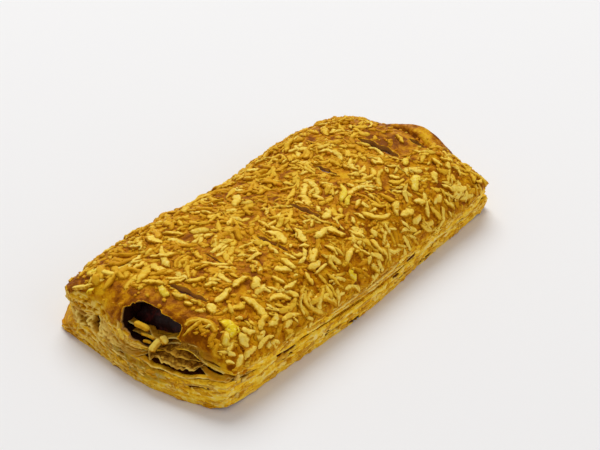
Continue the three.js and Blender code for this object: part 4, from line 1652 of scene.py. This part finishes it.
def cheese_look():
    """Baked grated cheese: pale yellow crests that turn golden brown where they melt into the
    crust. The top of the crest has a painted highlight, and the foot is partly painted shade."""
    look = Look("baked_cheese")
    tint = look.painted("tint")
    mottled = look.noise(1.2, 3, 0.6)
    patchy = look.noise(7, 2)
    pale = look.ramp(
        tint, (246, 212, 88), (0.0, 0.45, (236, 190, 54)), (0.4, 1.0, (220, 160, 24)),
        (1.0, 1.5, (196, 122, 6)), (0.0, -0.5, (236, 204, 34)),
    )  # fmt: skip
    pale = look.blend(look.step(patchy, 0.54, 0.68, 0, 0.5), pale, (232, 190, 50))
    crest = look.varied(look.painted("crest"), mottled, -0.3)
    crest = look.sum("SUBTRACT", crest, look.step(look.painted("tip"), 0.3, 1, 0, 0.35))
    colour = look.ramp(crest, (206, 146, 18), (0.3, 0.95, pale))
    # The foot turns brown or golden: partly the toasted, melted edge, partly painted shade where the
    # shred meets the crust.
    melted = look.blend(look.painted("melt"), (150, 84, 2), (204, 140, 14))
    colour = look.ramp(crest, colour, (0.46, -0.05, melted))
    # Painted highlight: the very top of the crest turns pale cream.
    painted_crest_highlight = look.ramp(tint, (250, 226, 138), (0.1, 0.6, pale))
    colour = look.blend(look.step(crest, 0.95, 1.3, 0, 0.7), colour, painted_crest_highlight)
    look.grainy_bump(mottled, 0.5, 0.2)
    return look.finish(colour, look.step(mottled, 0.3, 0.7, 0.4, 0.56), 0.07, (255, 190, 80))


def filling_look():
    """Moist filling, nearly black, with wine-dark tints, and dried brown under the vents."""
    look = Look("dark_filling")
    patchy, small = look.noise(3.5, 3), look.noise(1.1, 2)
    colour = look.ramp(patchy, (44, 18, 16), (0.45, 0.62, (92, 34, 30)))
    purple = look.ramp(small, (84, 46, 40), (0.4, 0.6, (126, 78, 62)))
    olive = look.ramp(small, (108, 68, 20), (0.4, 0.6, (168, 124, 54)))
    dried = look.ramp(look.painted("vent_floor"), purple, (0.3, 1.0, olive))
    colour = look.ramp(look.painted("vent_floor"), colour, (0.05, 0.25, dried))
    look.bump(look.noise(1.2, 3), 0.35)
    return look.finish(colour, 0.4, 0.3)


def floor_look():
    return Look("pale_floor").finish((238, 236, 237), 0.9, 0.1)


def dress(obj, material):
    obj.data.materials.clear()
    obj.data.materials.append(material)


# ---------------------------------------------------------------- the pastry

CHEESE_COVER = 0.5 * 155 * (FAR_EDGE - NEAR_EDGE)  # square mm: half of the unrolled top
THREAD_COUNT, GRAIN_COUNT, FLAKE_COUNT = 900, 1500, 650

rng = np.random.default_rng(20)
cheese_map = CheeseMap()
shreds = plan_large_shreds(rng, cheese_map)
shreds += plan_shreds(rng, cheese_map, CHEESE_COVER)
lid = build_lid(cheese_map)
base = build_base()
skin = lid.copy()
skin.data = lid.data.copy()
cut(lid, chamber_cutter())
cut(base, chamber_cutter())
for vent in VENTS:
    cut(lid, vent_cutter(vent))
for burst in BURSTS:
    cut(lid, burst_cutter(burst))
inside_depth(lid, skin)
inside_depth(base, None)
filling = build_filling()
crumb = build_vent_crumb()
leaves = build_leaves()

tree, base_tree = [
    BVHTree.FromObject(sheet, bpy.context.evaluated_depsgraph_get()) for sheet in (lid, base)
]
flakes = build_side_flakes((tree, base_tree), np.random.default_rng(31), FLAKE_COUNT)
cheese = build_shreds("cheese_shreds", shreds, tree, rng, cheese_at_front(tree))
threads = build_shreds("melted_threads", plan_threads(rng, THREAD_COUNT), tree, rng)
grains = build_grains(tree, rng, GRAIN_COUNT)

crust, melted, moist, leaf = crust_look(), cheese_look(), filling_look(), leaf_look()
for piece, look, slot in (
    (cheese, melted, "pastry_lid"), (threads, melted, "pastry_lid"), (grains, melted, "pastry_lid"),
    (crumb, moist, "filling"), (leaves, leaf, "pastry_base"), (flakes, leaf, "pastry_base"),
    (filling, moist, "filling"), (lid, crust, "pastry_lid"), (base, crust, "pastry_base"),
):  # fmt: skip
    dress(piece, look)
    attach(piece, "root")
for piece, node in ((filling, "filling"), (lid, "pastry_lid"), (base, "pastry_base")):
    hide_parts(node)

# ---------------------------------------------------------------- camera, floor and light

AZIMUTH, ELEVATION = math.radians(-52.43), math.radians(32.34)
DISTANCE = 636.8  # from the camera to the middle of the pastry's underside
AIM_RIGHT, AIM_UP = 6.04, 14.6  # how far from there the middle of the view lies
LENS, SENSOR = 105, 36
FLOOR_SIZE, SIGHT = 6, 20  # in metres
WORLD_COLOUR, WORLD_STRENGTH = (1, 0.94, 0.9, 1), 0.465

back = Vector((
    math.sin(AZIMUTH) * math.cos(ELEVATION),
    -math.cos(AZIMUTH) * math.cos(ELEVATION),
    math.sin(ELEVATION),
))  # fmt: skip
right = Vector((math.cos(AZIMUTH), math.sin(AZIMUTH), 0))
up = back.cross(right)
eye = back * DISTANCE + right * AIM_RIGHT + up * AIM_UP + Vector((shift_x, 0, 0))
camera = bpy.data.objects.new("camera", bpy.data.cameras.new("camera"))
camera.data.lens = LENS
camera.data.sensor_width = SENSOR
camera.data.clip_end = SIGHT
camera.matrix_world = Matrix.Translation(eye * MM) @ Matrix((right, up, back)).transposed().to_4x4()
bpy.context.scene.collection.objects.link(camera)
bpy.context.scene.camera = camera

bpy.ops.mesh.primitive_plane_add(size=FLOOR_SIZE)
floor = bpy.context.object
floor.name = "floor"
dress(floor, floor_look())

world = bpy.data.worlds.new("studio")
bpy.context.scene.world = world
world.use_nodes = True
background = world.node_tree.nodes["Background"]
background.inputs["Color"].default_value = WORLD_COLOUR
background.inputs["Strength"].default_value = WORLD_STRENGTH
bpy.context.scene.view_settings.view_transform = "Standard"

# Soft round lights: place in metres, size across, power and colour.
LIGHTS = {
    "key": ((1.72, 1.74, 2.8), 2.7, 112, (0.93, 0.99, 1.0)),
    "fill": ((0.4, -2.6, 1.1), 2.4, 12, (0.96, 1.0, 1.0)),
}
for name, (place, size, power, colour) in LIGHTS.items():
    data = bpy.data.lights.new(name, "AREA")
    data.shape = "DISK"
    data.size = size
    data.energy = power
    data.color = colour
    light = bpy.data.objects.new(name, data)
    light.location = place
    light.rotation_euler = (-Vector(place)).to_track_quat("-Z", "Y").to_euler()
    bpy.context.scene.collection.objects.link(light)
